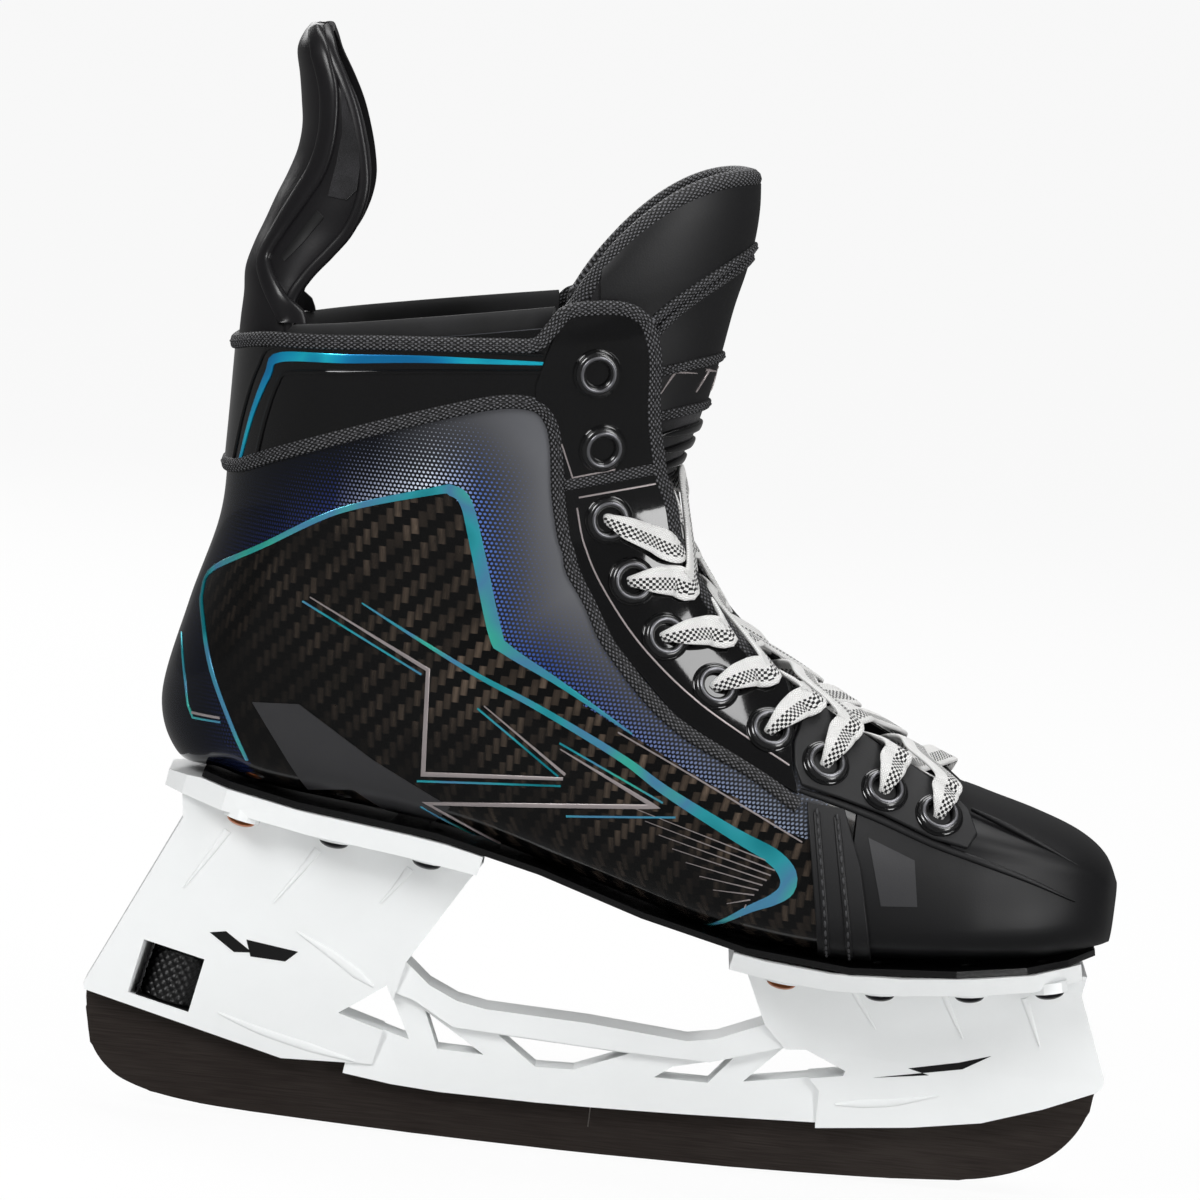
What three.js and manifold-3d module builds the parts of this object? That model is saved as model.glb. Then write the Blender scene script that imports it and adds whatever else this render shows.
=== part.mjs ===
// Hockey skate for the right foot: a moulded boot on a two-tower holder with a quick-release steel runner.
// Millimetres. +X is the toe, -Y the outer side of the foot, +Z up. The origin is the middle of the runner's
// bottom edge, where it meets the ice.
import * as THREE from 'three';
import { mergeVertices } from 'three/addons/utils/BufferGeometryUtils.js';
import Module from 'manifold-3d';

const wasm = await Module();
wasm.setup();

// ---- driving dimensions -----------------------------------------------------------------------------
const GAP = 0.3;                 // air kept between neighbouring pieces
const STEEL = 3.0;               // runner thickness
const SLOT = STEEL + 2 * 0.4;    // holder slot that takes the runner
const SHELL = 3.0;               // boot shell wall
const SHELL_LIFT = 2.8;          // shell bottom above the top of the holder's flanges
const OUTSOLE = 1.8;             // outsole plate
const TOE_WALL = 2.6;            // toe cap wall
const LINER_IN = 4.8;            // lining starts this far inside the boot's outer surface
const LINER_WALL = 4.0;
const FOOTBED_IN = 13.4;         // footbed underside above the holder's flanges
const FOOTBED = 3.5;
const TRIM_NEAR = 0.5;           // trim plates lie between these two heights over the shell
const TRIM_FAR = 1.6;
const EYELET_BORE = 2.9;
const EYELET_BARREL = 3.6;
const EYELET_FLANGE = 6.0;
const EYELET_LIFT = 0.4;         // eyelet flange over the curved trim plate
const LACE_R = 1.5;
const FLANGE_HEEL = 6.5;         // holder flange thickness
const FLANGE_TOE = 5.5;
const PAD = 1.0;                 // bosses under the flanges where the rivets sit
const WHEEL_R = 8.4;
const WHEEL_H = 15.4;
const WHEEL_TILT = 12.8;         // degrees that the wheel's axis leans forward
const WHEEL_AT = [-120.7, 39.1];
const STUD_R = 2.0;
const SIDES = { outer: -1, inner: 1 };

// ---- finishes ---------------------------------------------------------------------------------------
const finish = (color, roughness, metalness = 0) => (
  new THREE.MeshStandardMaterial({ color, roughness, metalness }));
const FINISH = {
  steel: finish(0x3b3533, 0.35, 0.9),
  holder: finish(0xe9ecec, 0.4),
  shell: finish(0x141416, 0.2),
  gloss: finish(0x0b0b0c, 0.08),
  rubber: finish(0x1b1b1d, 0.6),
  felt: finish(0x1f1e20, 0.95),
  knit: finish(0x232325, 0.9),
  eyelet: finish(0x18181a, 0.25, 0.5),
  rivet: finish(0x2a2a2c, 0.3, 0.7),
  copper: finish(0xb9714a, 0.3, 1.0),
  lace: finish(0xe4e4e2, 0.85),
  lock: finish(0x101011, 0.45),
};

// ---- small geometry kit -----------------------------------------------------------------------------
const skate = new THREE.Group();

function add(name, geometry, material) {
  const mesh = new THREE.Mesh(geometry, material);
  mesh.name = name;
  skate.add(mesh);
}

function solid(geometry) {
  const bare = geometry.clone();
  for (const key of Object.keys(bare.attributes)) {
    if (key !== 'position') bare.deleteAttribute(key);
  }
  const merged = mergeVertices(bare, 1e-4);
  const mesh = new wasm.Mesh({
    numProp: 3,
    vertProperties: new Float32Array(merged.attributes.position.array),
    triVerts: new Uint32Array(merged.index.array),
  });
  mesh.merge();
  return new wasm.Manifold(mesh);
}

function geometryOf(manifold) {
  const mesh = manifold.getMesh();
  const geometry = new THREE.BufferGeometry();
  geometry.setAttribute('position', new THREE.BufferAttribute(new Float32Array(mesh.vertProperties), 3));
  geometry.setIndex(new THREE.BufferAttribute(new Uint32Array(mesh.triVerts), 1));
  return geometry;
}

const union = (first, ...rest) => rest.reduce((sum, next) => sum.add(next), first);
const cut = (body, ...tools) => tools.reduce((rest, tool) => rest.subtract(tool), body);

function fromTriangles(points, triangles) {
  let volume = 0;
  for (const [a, b, c] of triangles) {
    volume += points[a].dot(new THREE.Vector3().crossVectors(points[b], points[c]));
  }
  const facing = volume < 0 ? triangles.map(([a, b, c]) => [a, c, b]) : triangles;
  const geometry = new THREE.BufferGeometry().setFromPoints(points);
  geometry.setIndex(facing.flat());
  return geometry;
}

// A wall between two grids of points, one over the other, closed all round its edge.
function wall(over, under) {
  const rows = over.length;
  const cols = over[0].length;
  const points = [...over.flat(), ...under.flat()];
  const at = (side, i, j) => side * rows * cols + i * cols + j;
  const triangles = [];
  const quad = (a, b, c, d) => triangles.push([a, b, c], [a, c, d]);
  for (let i = 0; i < rows - 1; i++) {
    for (let j = 0; j < cols - 1; j++) {
      quad(at(0, i, j), at(0, i + 1, j), at(0, i + 1, j + 1), at(0, i, j + 1));
      quad(at(1, i, j), at(1, i, j + 1), at(1, i + 1, j + 1), at(1, i + 1, j));
    }
    quad(at(0, i + 1, 0), at(0, i, 0), at(1, i, 0), at(1, i + 1, 0));
    quad(at(0, i, cols - 1), at(0, i + 1, cols - 1), at(1, i + 1, cols - 1), at(1, i, cols - 1));
  }
  for (let j = 0; j < cols - 1; j++) {
    quad(at(0, 0, j), at(0, 0, j + 1), at(1, 0, j + 1), at(1, 0, j));
    quad(at(0, rows - 1, j + 1), at(0, rows - 1, j), at(1, rows - 1, j), at(1, rows - 1, j + 1));
  }
  return fromTriangles(points, triangles);
}

// A solid skinned over a row of closed rings, with a fan at each end.
function ringLoft(rings) {
  const n = rings[0].length;
  const points = rings.flat();
  const triangles = [];
  for (let i = 0; i < rings.length - 1; i++) {
    for (let j = 0; j < n; j++) {
      const a = i * n + j;
      const b = i * n + ((j + 1) % n);
      triangles.push([a, b, b + n], [a, b + n, a + n]);
    }
  }
  for (const [i, flip] of [[0, true], [rings.length - 1, false]]) {
    const middle = points.length;
    const centre = rings[i].reduce((sum, p) => sum.add(p), new THREE.Vector3()).divideScalar(n);
    points.push(centre);
    for (let j = 0; j < n; j++) {
      const a = i * n + j;
      const b = i * n + ((j + 1) % n);
      triangles.push(flip ? [middle, b, a] : [middle, a, b]);
    }
  }
  return fromTriangles(points, triangles);
}

// A side outline in X and Z, given a width across Y.
function slab(outline, from, to) {
  const shape = new THREE.Shape(outline.map(([x, z]) => new THREE.Vector2(x, z)));
  const geometry = new THREE.ExtrudeGeometry(shape, { depth: to - from, bevelEnabled: false });
  geometry.rotateX(Math.PI / 2);
  geometry.translate(0, to, 0);
  return solid(geometry);
}

// A cross outline in Y and Z, run along X.
function beam(outline, from, to) {
  const shape = new THREE.Shape(outline.map(([y, z]) => new THREE.Vector2(y, z)));
  const geometry = new THREE.ExtrudeGeometry(shape, { depth: to - from, bevelEnabled: false });
  geometry.applyMatrix4(new THREE.Matrix4().set(0, 0, 1, from, 1, 0, 0, 0, 0, 1, 0, 0, 0, 0, 0, 1));
  return solid(geometry);
}

function turned(profile, sides) {
  const closed = [...profile, profile[0]].map(([r, h]) => new THREE.Vector2(r, h));
  return new THREE.LatheGeometry(profile[0][0] === 0 ? closed.slice(0, -1) : closed, sides);
}

// Stands a piece that was turned about Y on a point, with its axis along a direction.
function stand(geometry, point, axis) {
  geometry.applyQuaternion(new THREE.Quaternion().setFromUnitVectors(new THREE.Vector3(0, 1, 0), axis));
  geometry.translate(point.x, point.y, point.z);
  return geometry;
}

function drill(point, axis, radius, from, to, sides = 12) {
  const rod = new THREE.CylinderGeometry(radius, radius, to - from, sides);
  rod.translate(0, (from + to) / 2, 0);
  return solid(stand(rod, point, axis));
}

// A smooth value through evenly spaced rows of numbers.
function through(rows, t) {
  const last = rows.length - 1;
  const i = Math.min(last - 1, Math.max(0, Math.floor(t)));
  const u = t - i;
  const [p, q, r, w] = [rows[Math.max(0, i - 1)], rows[i], rows[i + 1], rows[Math.min(last, i + 2)]];
  return q.map((_, k) => {
    const tension = 0.5 * (r[k] - p[k]);
    const release = 0.5 * (w[k] - q[k]);
    const bend = 2 * q[k] - 2 * r[k] + tension + release;
    const swing = -3 * q[k] + 3 * r[k] - 2 * tension - release;
    return ((bend * u + swing) * u + tension) * u + q[k];
  });
}

const range = (from, to, count) => {
  return Array.from({ length: count + 1 }, (_, i) => from + ((to - from) * i) / count);
};

// ---- sole line and plan outline ---------------------------------------------------------------------
const SOLE = [
  [-131, 101.2], [-99, 94.7], [-67, 91.0], [-35, 86.4], [-3, 77.0], [29, 69.2],
  [61, 65.3], [93, 66.5], [125, 69.9], [143, 73.6],
];
const PLAN = [[-131, 5], [-126, 17], [-112, 27], [-85, 31], [-35, 32], [0, 36], [35, 43], [70, 46.5],
  [95, 46], [115, 41], [128, 34], [137, 22], [141, 12]];

function along(table, x) {
  const ahead = table.findIndex(([edge]) => edge > x);
  const i = ahead < 0 ? table.length - 2 : Math.max(0, ahead - 1);
  const t = i + (x - table[i][0]) / (table[i + 1][0] - table[i][0]);
  return through(table, t)[1];
}

const soleAt = (x) => along(SOLE, x);
const halfAt = (x) => along(PLAN, x);
const soleUp = (x) => new THREE.Vector3(soleAt(x - 1) - soleAt(x + 1), 0, 2).normalize();

// ---- the last: every part of the boot is laid on this one surface ----------------------------------------
// Each row is a section of the boot, from the toe to the collar: where it meets the sole or the heel (x, z),
// where it meets the instep or the throat (x, z), its half-width low, half way and at the throat, the size of
// its lower corner and how square that corner is.
const SECTIONS = [
  [143.8, 76.0, 144.3, 94.0, 6, 8, 5, 6, 2.2],
  [141.0, 72.5, 140.6, 101.0, 21, 23, 17, 11, 2.8],
  [134.5, 71.6, 132.6, 106.6, 31, 32, 23, 14, 3.2],
  [124.0, 70.9, 120.0, 111.2, 39, 38, 27, 15, 3.4],
  [110.0, 69.9, 106.0, 115.0, 44, 42, 28, 15, 3.4],
  [97.0, 69.2, 93.5, 118.6, 46, 44, 26, 15, 3.4],
  [73.0, 68.0, 74.0, 127.6, 47, 45, 23, 15, 3.4],
  [50.0, 67.9, 51.0, 139.7, 46, 45, 22, 15, 3.4],
  [25.0, 72.4, 31.4, 150.9, 43, 43, 22, 15, 3.3],
  [-9.0, 81.0, 20.0, 162.0, 37, 41, 22, 17, 3.1],
  [-48.0, 91.5, 9.7, 177.0, 33, 39, 23, 18, 3.0],
  [-98.0, 97.2, 5.7, 190.0, 31, 38, 24, 21, 2.9],
  [-114.0, 99.0, 3.9, 194.5, 30, 38, 25, 24, 2.7],
  [-126.0, 102.3, 2.2, 199.0, 29, 38, 26, 27, 2.5],
  [-132.4, 119.0, 0.0, 210.0, 29, 38, 28, 33, 2.15],
  [-127.4, 146.5, -1.5, 220.0, 29, 40, 30, 33, 2.1],
  [-121.0, 172.0, -2.5, 229.0, 31, 42, 32, 33, 2.1],
  [-120.5, 193.0, -3.0, 236.0, 33, 43, 33, 33, 2.1],
  [-120.7, 221.5, -4.0, 243.0, 34, 43, 33, 33, 2.1],
];
const LAST = SECTIONS.map(([x, z, ...rest], i) => [x, i < 14 ? soleAt(x) + SHELL_LIFT : z, ...rest]);
const CORNER_SHARE = 0.45;
const COLLAR = SECTIONS.length - 1;
const cornerShare = (corner, length) => Math.min(0.45, corner / length);

// A point on the boot: s runs along the rows of LAST, a goes from the outer throat edge (-1) under the
// foot (0) to the inner throat edge (1), and inset moves the surface inwards.
function boot(s, a, inset = 0) {
  const [bx, bz, tx, tz, low, mid, top, corner, square] = through(LAST, s);
  const length = Math.hypot(tx - bx, tz - bz);
  const [dx, dz] = [(tx - bx) / length, (tz - bz) / length];
  const side = Math.sign(a);
  const u = Math.abs(a);
  const share = cornerShare(corner, length);
  const width = (f) => {
    return 2 * low * (f - 0.5) * (f - 1) - 4 * mid * f * (f - 1) + 2 * top * f * (f - 0.5) - inset;
  };
  let f;
  let y;
  if (u < CORNER_SHARE) {
    const angle = (u / CORNER_SHARE) * (Math.PI / 2);
    f = share * (1 - Math.max(0, Math.cos(angle)) ** (2 / square));
    y = width(f) * Math.sin(angle) ** (2 / square);
  } else {
    f = share + ((1 - share) * (u - CORNER_SHARE)) / (1 - CORNER_SHARE);
    y = width(f);
  }
  const along = inset + f * (length - inset);
  return new THREE.Vector3(bx + dx * along, side * y, bz + dz * along);
}

function bootNormal(s, a) {
  const e = 0.01;
  const alongRow = boot(s, a + e).sub(boot(s, a - e));
  const alongBoot = boot(s + e, a).sub(boot(s - e, a));
  const normal = alongRow.cross(alongBoot).normalize();
  return normal.y * Math.sign(a) < 0 ? normal.negate() : normal;
}

const liftOff = (s, a, rise) => boot(s, a).addScaledVector(bootNormal(s, a), rise);

// The place on the boot, as s and the size of a, that is seen at x, z from the side.
function placeOn(x, z) {
  const ahead = (s) => {
    const [bx, bz, tx, tz] = through(LAST, s);
    return (tx - bx) * (z - bz) - (tz - bz) * (x - bx);
  };
  let [near, far] = [1, COLLAR];
  for (let i = 0; i < 40; i++) {
    const middle = (near + far) / 2;
    if (ahead(middle) > 0) near = middle;
    else far = middle;
  }
  const [bx, bz, tx, tz, , , , corner] = through(LAST, near);
  const length = Math.hypot(tx - bx, tz - bz);
  const f = ((tx - bx) * (x - bx) + (tz - bz) * (z - bz)) / length ** 2;
  const share = cornerShare(corner, length);
  return [near, CORNER_SHARE + ((1 - CORNER_SHARE) * (f - share)) / (1 - share)];
}

const grid = (rows, cols, inset) => rows.map((s) => cols.map((a) => boot(s, a, inset)));

// A plate that lies on the boot: for each s, the two values of a that it reaches between.
function plate(rows, reach, side, cols, near = TRIM_NEAR, far = TRIM_FAR) {
  const lay = (rise) => rows.map((s) => range(...reach(s), cols).map((a) => liftOff(s, side * a, rise)));
  return solid(wall(lay(far), lay(near)));
}

// A plate that follows the sole between two distances from it, narrower than the sole by a margin.
function solePlate(xs, low, high, margin, lowMargin = margin) {
  const lay = (rise, inset) => xs.map((x) => range(-1, 1, 4).map((v) => {
    const lift = soleUp(x).multiplyScalar(rise);
    return new THREE.Vector3(x, v * (halfAt(x) - inset), soleAt(x)).add(lift);
  }));
  return solid(wall(lay(high, margin), lay(low, lowMargin)));
}

// ---- places of the eyelets and rivets ---------------------------------------------------------------
const EYELETS = [[-18.7, 226.2], [-15.1, 205.2], [-11.2, 184.9], [-2.8, 168], [8.1, 153.4], [23.6, 140.7],
  [40.3, 130.1], [56.7, 122.4], [74, 116.4], [90.1, 111]].map(([x, z]) => placeOn(x, z));
const RIVETS = [
  ...[-104, -78, -51].map((x, i) => ['heel', i + 1, x, 20.5]),
  ...[52, 79, 104, 126].map((x, i) => ['toe', i + 1, x, [30, 31, 29.5, 25][i]]),
];
const eyeletAt = (i, side, rise) => {
  const [s, a] = EYELETS[i];
  return [liftOff(s, side * a, rise), bootNormal(s, side * a)];
};

const eyeletDrills = Object.values(SIDES).flatMap((side) => EYELETS.map((_, i) => {
  const [point, normal] = eyeletAt(i, side, 0);
  return drill(point, normal, EYELET_BARREL + 1.4, -9, 6, 8);
}));
const rivetPlaces = RIVETS.flatMap(([end, number, x, y]) => Object.entries(SIDES).map(([name, side]) => ({
  name: `rivet_${end}_${name}_${number}`,
  first: number === 1,
  depth: (end === 'heel' ? FLANGE_HEEL : FLANGE_TOE) + PAD,
  point: new THREE.Vector3(x, side * y, soleAt(x)),
  axis: soleUp(x),
})));
const rivetDrills = rivetPlaces.flatMap(({ point, axis }) => [
  drill(point, axis, 2.7, -14, 9, 8),
  drill(point, axis, 4.7, SHELL_LIFT + SHELL + 0.05, 14, 8),
]);

// ---- boot -------------------------------------------------------------------------------------------
const THROAT_END = 5;            // row of the last where the throat opens
const SHELL_END = 6.3;           // row where the shell starts
const CAP_END = 6.28;            // row where the toe cap's flanks end

// For a row of the last, the span of a from a given distance below the throat edge up to the edge.
const throatReach = (depth) => (s) => {
  const [bx, bz, tx, tz, , , , corner] = through(LAST, s);
  const length = Math.hypot(tx - bx, tz - bz);
  const share = cornerShare(corner, length);
  const f = 1 - depth / length;
  return [CORNER_SHARE + ((1 - CORNER_SHARE) * (f - share)) / (1 - share), 1];
};

function makeShell() {
  const rows = range(SHELL_END, COLLAR, 18);
  const cols = range(-1, 1, 18);
  return cut(solid(wall(grid(rows, cols, 0), grid(rows, cols, SHELL))), ...eyeletDrills, ...rivetDrills);
}

// A closed ring round the toes: the boot's own section up the sides, then an arch over the top.
function capRing(s, inset) {
  const sides = range(0, 0.75, 6).map((u) => boot(s, Math.max(u, 1e-4), inset));
  const shoulder = sides[sides.length - 1];
  const crown = boot(s, 1, inset);
  crown.z -= inset;
  const arch = range(0, 1, 4).slice(1).map((u) => {
    const angle = (u * Math.PI) / 2;
    const rise = Math.sin(angle);
    const y = shoulder.y * Math.max(0, Math.cos(angle)) ** 0.8;
    return new THREE.Vector3(
      shoulder.x + (crown.x - shoulder.x) * rise, y, shoulder.z + (crown.z - shoulder.z) * rise);
  });
  const half = [...sides, ...arch];
  half[0].y = 0;
  half[half.length - 1].y = 0;
  return [...half, ...half.slice(1, -1).reverse().map((p) => new THREE.Vector3(p.x, -p.y, p.z))];
}

// The cap closes over the toes as far as the throat and runs back along both sides to the shell.
function makeToeCap() {
  const rows = [0, 0.35, 0.8, 1.3, 2, 2.7, 3.4, 4.2, THROAT_END + 0.02];
  const outside = solid(ringLoft(rows.map((s) => capRing(s, 0))));
  const inRows = [0.8, 1.4, 2, 2.7, 3.4, 4.2, THROAT_END + 0.3];
  const inside = solid(ringLoft(inRows.map((s) => capRing(s, TOE_WALL))));
  const sideRows = range(THROAT_END, CAP_END, 3);
  const cols = range(-1, 1, 20);
  const flanks = solid(wall(grid(sideRows, cols, 0), grid(sideRows, cols, TOE_WALL)));
  return cut(union(cut(outside, inside), flanks), ...eyeletDrills, ...rivetDrills);
}

function makeLiner() {
  const rows = range(4.6, COLLAR, 13);
  const lay = (inset) => rows.map((s) => {
    const [edge] = throatReach(32)(s);
    return range(-edge, edge, 14).map((a) => boot(s, a, inset));
  });
  return solid(wall(lay(LINER_IN), lay(LINER_IN + LINER_WALL)));
}

const SOLE_ROWS = [-118, -110, -90, -50, -20, 10, 40, 70, 100, 120, 132, 140];
const makeOutsole = () => cut(solePlate(SOLE_ROWS, GAP, GAP + OUTSOLE, 3), ...rivetDrills);
const makeFootbed = () => solePlate(SOLE_ROWS.slice(1, -3), FOOTBED_IN, FOOTBED_IN + FOOTBED, 20, 21);

// Trims on each side: the ankle tab with two open eyelets, the glossy facing with five, the matt facing of
// the toe with three, and the stitched strip where the toe cap meets the shell.
const TAB_FROM = placeOn(-6, 201.6)[0];
const FACING_TO = placeOn(-6, 200.2)[0];
const FACING_FROM = 7.1;
const TOE_FACING_TO = 7.03;
const makeTab = (side) => cut(
  plate(range(TAB_FROM, COLLAR + 0.55, 5), throatReach(27), side, 4), ...eyeletDrills);
const makeFacing = (side) => cut(
  plate(range(FACING_FROM, FACING_TO, 8), throatReach(25), side, 3), ...eyeletDrills);
const makeToeFacing = (side) => cut(
  plate(range(THROAT_END + 0.14, TOE_FACING_TO, 4), throatReach(23), side, 3), ...eyeletDrills);
const makeBand = (side) => plate(
  range(5.95, 6.6, 3), (s) => [0.36, throatReach(24)(s)[0] - 0.01], side, 8, TRIM_NEAR, 1.2);

function makeEyelet(i, side) {
  const foot = -TRIM_FAR - SHELL - 0.6;
  const profile = [[EYELET_BORE, foot], [EYELET_BARREL, foot], [EYELET_BARREL, EYELET_LIFT],
    [5.6, EYELET_LIFT], [EYELET_FLANGE, 0.9], [4.9, 1.8], [EYELET_BORE, 1.2]];
  const [point, normal] = eyeletAt(i, side, TRIM_FAR);
  return stand(turned(profile, 8), point, normal);
}

function makeRivet({ depth, point, axis }) {
  const top = SHELL_LIFT + SHELL;
  const profile = [[0, -depth - 2.1], [2.6, -depth - 1.7], [4.2, -depth - GAP], [2.2, -depth - GAP],
    [2.2, top + GAP], [4.0, top + GAP], [4.0, top + 1.2], [0, top + 1.2]];
  return stand(turned(profile, 8), point, axis);
}

// ---- tongue -----------------------------------------------------------------------------------------
// Each row: front line of the tongue at its middle (x, z), half-width, and how far its edges wrap back.
const TONGUE_LOWER = [[97, 108.5, 13, 4], [75, 117.6, 15, 6], [51, 129, 16, 8], [33, 140, 16, 9],
  [19.4, 151.6, 15, 9], [10.4, 165, 14, 9], [5.0, 177, 13, 9], [1.0, 188, 12, 9], [0.8, 195.5, 12, 8]];
const TONGUE_UPPER = [[9.6, 200.8, 19, 12], [11.5, 210, 23, 19], [13.6, 221, 26, 28], [15.2, 232, 29, 37],
  [17.3, 246, 31, 45], [19.9, 256.6, 33, 42], [21.8, 267, 35, 33], [22.4, 275, 34, 23], [21.9, 281, 26, 12]];

function makeTongue(rows, thickness) {
  const samples = range(0, rows.length - 1, 10);
  const lay = (depth) => samples.map((t) => {
    const [x, z, width, wrap] = through(rows, t);
    const [x0, z0] = through(rows, Math.max(0, t - 0.1));
    const [x1, z1] = through(rows, Math.min(rows.length - 1, t + 0.1));
    const run = Math.hypot(x1 - x0, z1 - z0);
    const [inX, inZ] = [-Math.abs(z1 - z0) / run, (x1 - x0) * Math.sign(z1 - z0) / run];
    return range(-1, 1, 8).map((v) => {
      const angle = (v * Math.PI) / 2;
      const norm = Math.hypot(wrap * Math.sin(angle), width * Math.cos(angle));
      const y = width * Math.sin(angle) - (depth * wrap * Math.sin(angle)) / norm;
      const back = wrap * (1 - Math.cos(angle)) + (depth * width * Math.cos(angle)) / norm;
      return new THREE.Vector3(x + inX * back, y, z + inZ * back);
    });
  });
  return wall(lay(0), lay(thickness));
}

// ---- tendon guard -----------------------------------------------------------------------------------
// Each row: height, back and front of the guard seen from the side, half-width. The lowest rows slope with
// the collar that they stand on.
const GUARD = [[222.2, -120.8, -104.6, 25.5], [229, -120.8, -105.2, 25], [236, -120.6, -105.3, 25],
  [243, -120.9, -101.5, 25], [250, -119.2, -96.5, 25.5], [257, -116.7, -91.3, 26], [264, -114.3, -88.6, 26.5],
  [271, -111.6, -87.8, 26.5], [278, -109.5, -89, 26], [285, -108.9, -91, 25], [292, -109.8, -93.5, 23.5],
  [299, -111, -97, 21.5], [306, -112.4, -101, 18.5], [311, -111, -103, 14.5], [314.6, -108.5, -104.6, 8]];

const COLLAR_SLOPE = 0.19;

function makeGuard(rows, thickness, setIn, forward) {
  const lay = (depth) => rows.map(([z, back, front, width]) => range(-1, 1, 8).map((v) => {
    const angle = (v * Math.PI) / 2;
    const reach = front - back + forward;
    const x = back + setIn + depth * Math.cos(angle) ** 2 + (reach - setIn) * (1 - Math.cos(angle));
    const slope = COLLAR_SLOPE * Math.max(0, (250 - z) / 28);
    return new THREE.Vector3(x, (width - setIn - depth) * Math.sin(angle), z + slope * (x - back));
  }));
  return wall(lay(0), lay(thickness));
}

// ---- lace -------------------------------------------------------------------------------------------
// One half of the lace starts in the middle of the lowest bar and climbs through the eyelets, crossing to the
// other side each time: out of an eyelet, over the edge of the facing, across, and under the other edge.
const LACED = [9, 8, 7, 6, 5, 4, 3, 2];
const HIGH = { 3: 4.6, 4: 3.4 };
const LOW = { 3: 0.6, 4: -1.0 };

function throatPoint(s, y, height) {
  const edge = boot(s, 1);
  const ahead = boot(s + 0.05, 1).sub(boot(s - 0.05, 1));
  const up = new THREE.Vector3(ahead.z, 0, -ahead.x).normalize();
  return new THREE.Vector3(edge.x, y, edge.z).addScaledVector(up, height);
}

function lacePath(startSide, crossing) {
  const lowest = EYELETS[9][0];
  const points = [throatPoint(lowest, startSide * 0.4, -3.4), throatPoint(lowest, startSide * 10, -3.8)];
  let side = startSide;
  for (const [k, i] of LACED.entries()) {
    const [point, normal] = eyeletAt(i, side, 0);
    const [s] = EYELETS[i];
    const edge = boot(s, side).y;
    if (k > 0) points.push(throatPoint(s, edge - side * 4.9, -5.4));
    for (const rise of [-9, -6, 4, 8]) points.push(point.clone().addScaledVector(normal, rise));
    const next = i === LACED[LACED.length - 1] ? s + 0.2 : EYELETS[i - 1][0];
    points.push(throatPoint(s + (next - s) * 0.22, edge - side * 0.6, 6));
    if (i === LACED[LACED.length - 1]) {
      points.push(throatPoint(s + 0.1, edge - side * 6, 4.8));
      break;
    }
    const height = crossing > 0 ? (HIGH[i] ?? 2.4) : (LOW[i] ?? -2.4);
    points.push(throatPoint(s + (next - s) * 0.42, side * 7, height));
    points.push(throatPoint(s + (next - s) * 0.62, -side * 7, height));
    side = -side;
  }
  return points;
}

// A path whose steps fall on its own points, so that the lace runs straight through each eyelet.
class LaceRoute extends THREE.CatmullRomCurve3 {
  getUtoTmapping(u) {
    return u;
  }
}

function makeLace(points) {
  const route = new LaceRoute(points);
  const ring = new THREE.Shape(range(0, 2 * Math.PI, 8).slice(0, -1).map(
    (angle) => new THREE.Vector2(LACE_R * Math.cos(angle), LACE_R * Math.sin(angle))));
  return new THREE.ExtrudeGeometry(ring, { steps: points.length - 1, extrudePath: route });
}

// ---- runner -----------------------------------------------------------------------------------------
const HOOK = [104, 27];
const fromHook = (outline) => outline.map(([x, z]) => [HOOK[0] + x, HOOK[1] + z]);
const RUNNER_BOTTOM = [[-6, 0], [6, 0], [43, 0.35], [89, 1.9], [108.7, 3.4], [122.2, 6.6], [132.3, 11.6],
  [140.3, 20.0], [143.9, 27.0], [144.6, 33.0]];
const RUNNER_HEEL = [[-145.2, 27], [-143, 17], [-135, 8.6], [-124.5, 4.6], [-109.8, 2.6], [-95.3, 1.8],
  [-49, 0.5]];
const EDGE = [[-146.5, 33.6], [-112, 25.7], [-82.5, 18.7], [-53.3, 14.5], [-24.5, 13.8], [4.3, 14.2],
  [44.4, 15.6], [93.1, 18], [113.4, 21.5], [130.3, 27.4], [146.5, 35]];
const edgeAt = (x) => along(EDGE, x);

function makeRunner() {
  const top = range(143, -143, 26).map((x) => [x, edgeAt(x) + (x > 120 ? 0.4 : 3)]);
  const body = slab([...RUNNER_HEEL, ...RUNNER_BOTTOM, ...top], -STEEL / 2, STEEL / 2);
  const hook = slab(fromHook([[-6, -9], [6, -9], [6, 6], [0, 8.5], [-6, 6]]), -STEEL / 2, STEEL / 2);
  const notch = slab([[-126.4, 26.0], [-119.2, 26.0], [-119.2, 36], [-126.4, 36]], -3, 3);
  return geometryOf(cut(union(body, hook), notch));
}

// ---- quick-release wheel and stud -------------------------------------------------------------------
const tilt = THREE.MathUtils.degToRad(WHEEL_TILT);
const wheelAxis = new THREE.Vector3(Math.sin(tilt), 0, Math.cos(tilt));
const wheelAt = new THREE.Vector3(WHEEL_AT[0], 0, WHEEL_AT[1]);

function makeWheel() {
  const half = WHEEL_H / 2;
  const profile = [[3.4, -half], [WHEEL_R - 0.7, -half], [WHEEL_R, -half + 0.8], [WHEEL_R, half - 0.8],
    [WHEEL_R - 0.7, half], [3.4, half]];
  return stand(turned(profile, 28), wheelAt, wheelAxis);
}

function makeStud() {
  const rod = new THREE.CylinderGeometry(STUD_R, STUD_R, 22.4, 12);
  rod.translate(0, 4.4, 0);
  const foot = new THREE.BoxGeometry(3.6, 6.2, 2.6);
  foot.translate(0, -9.4, 0);
  return geometryOf(union(solid(stand(rod, wheelAt, wheelAxis)), solid(stand(foot, wheelAt, wheelAxis))));
}

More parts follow.
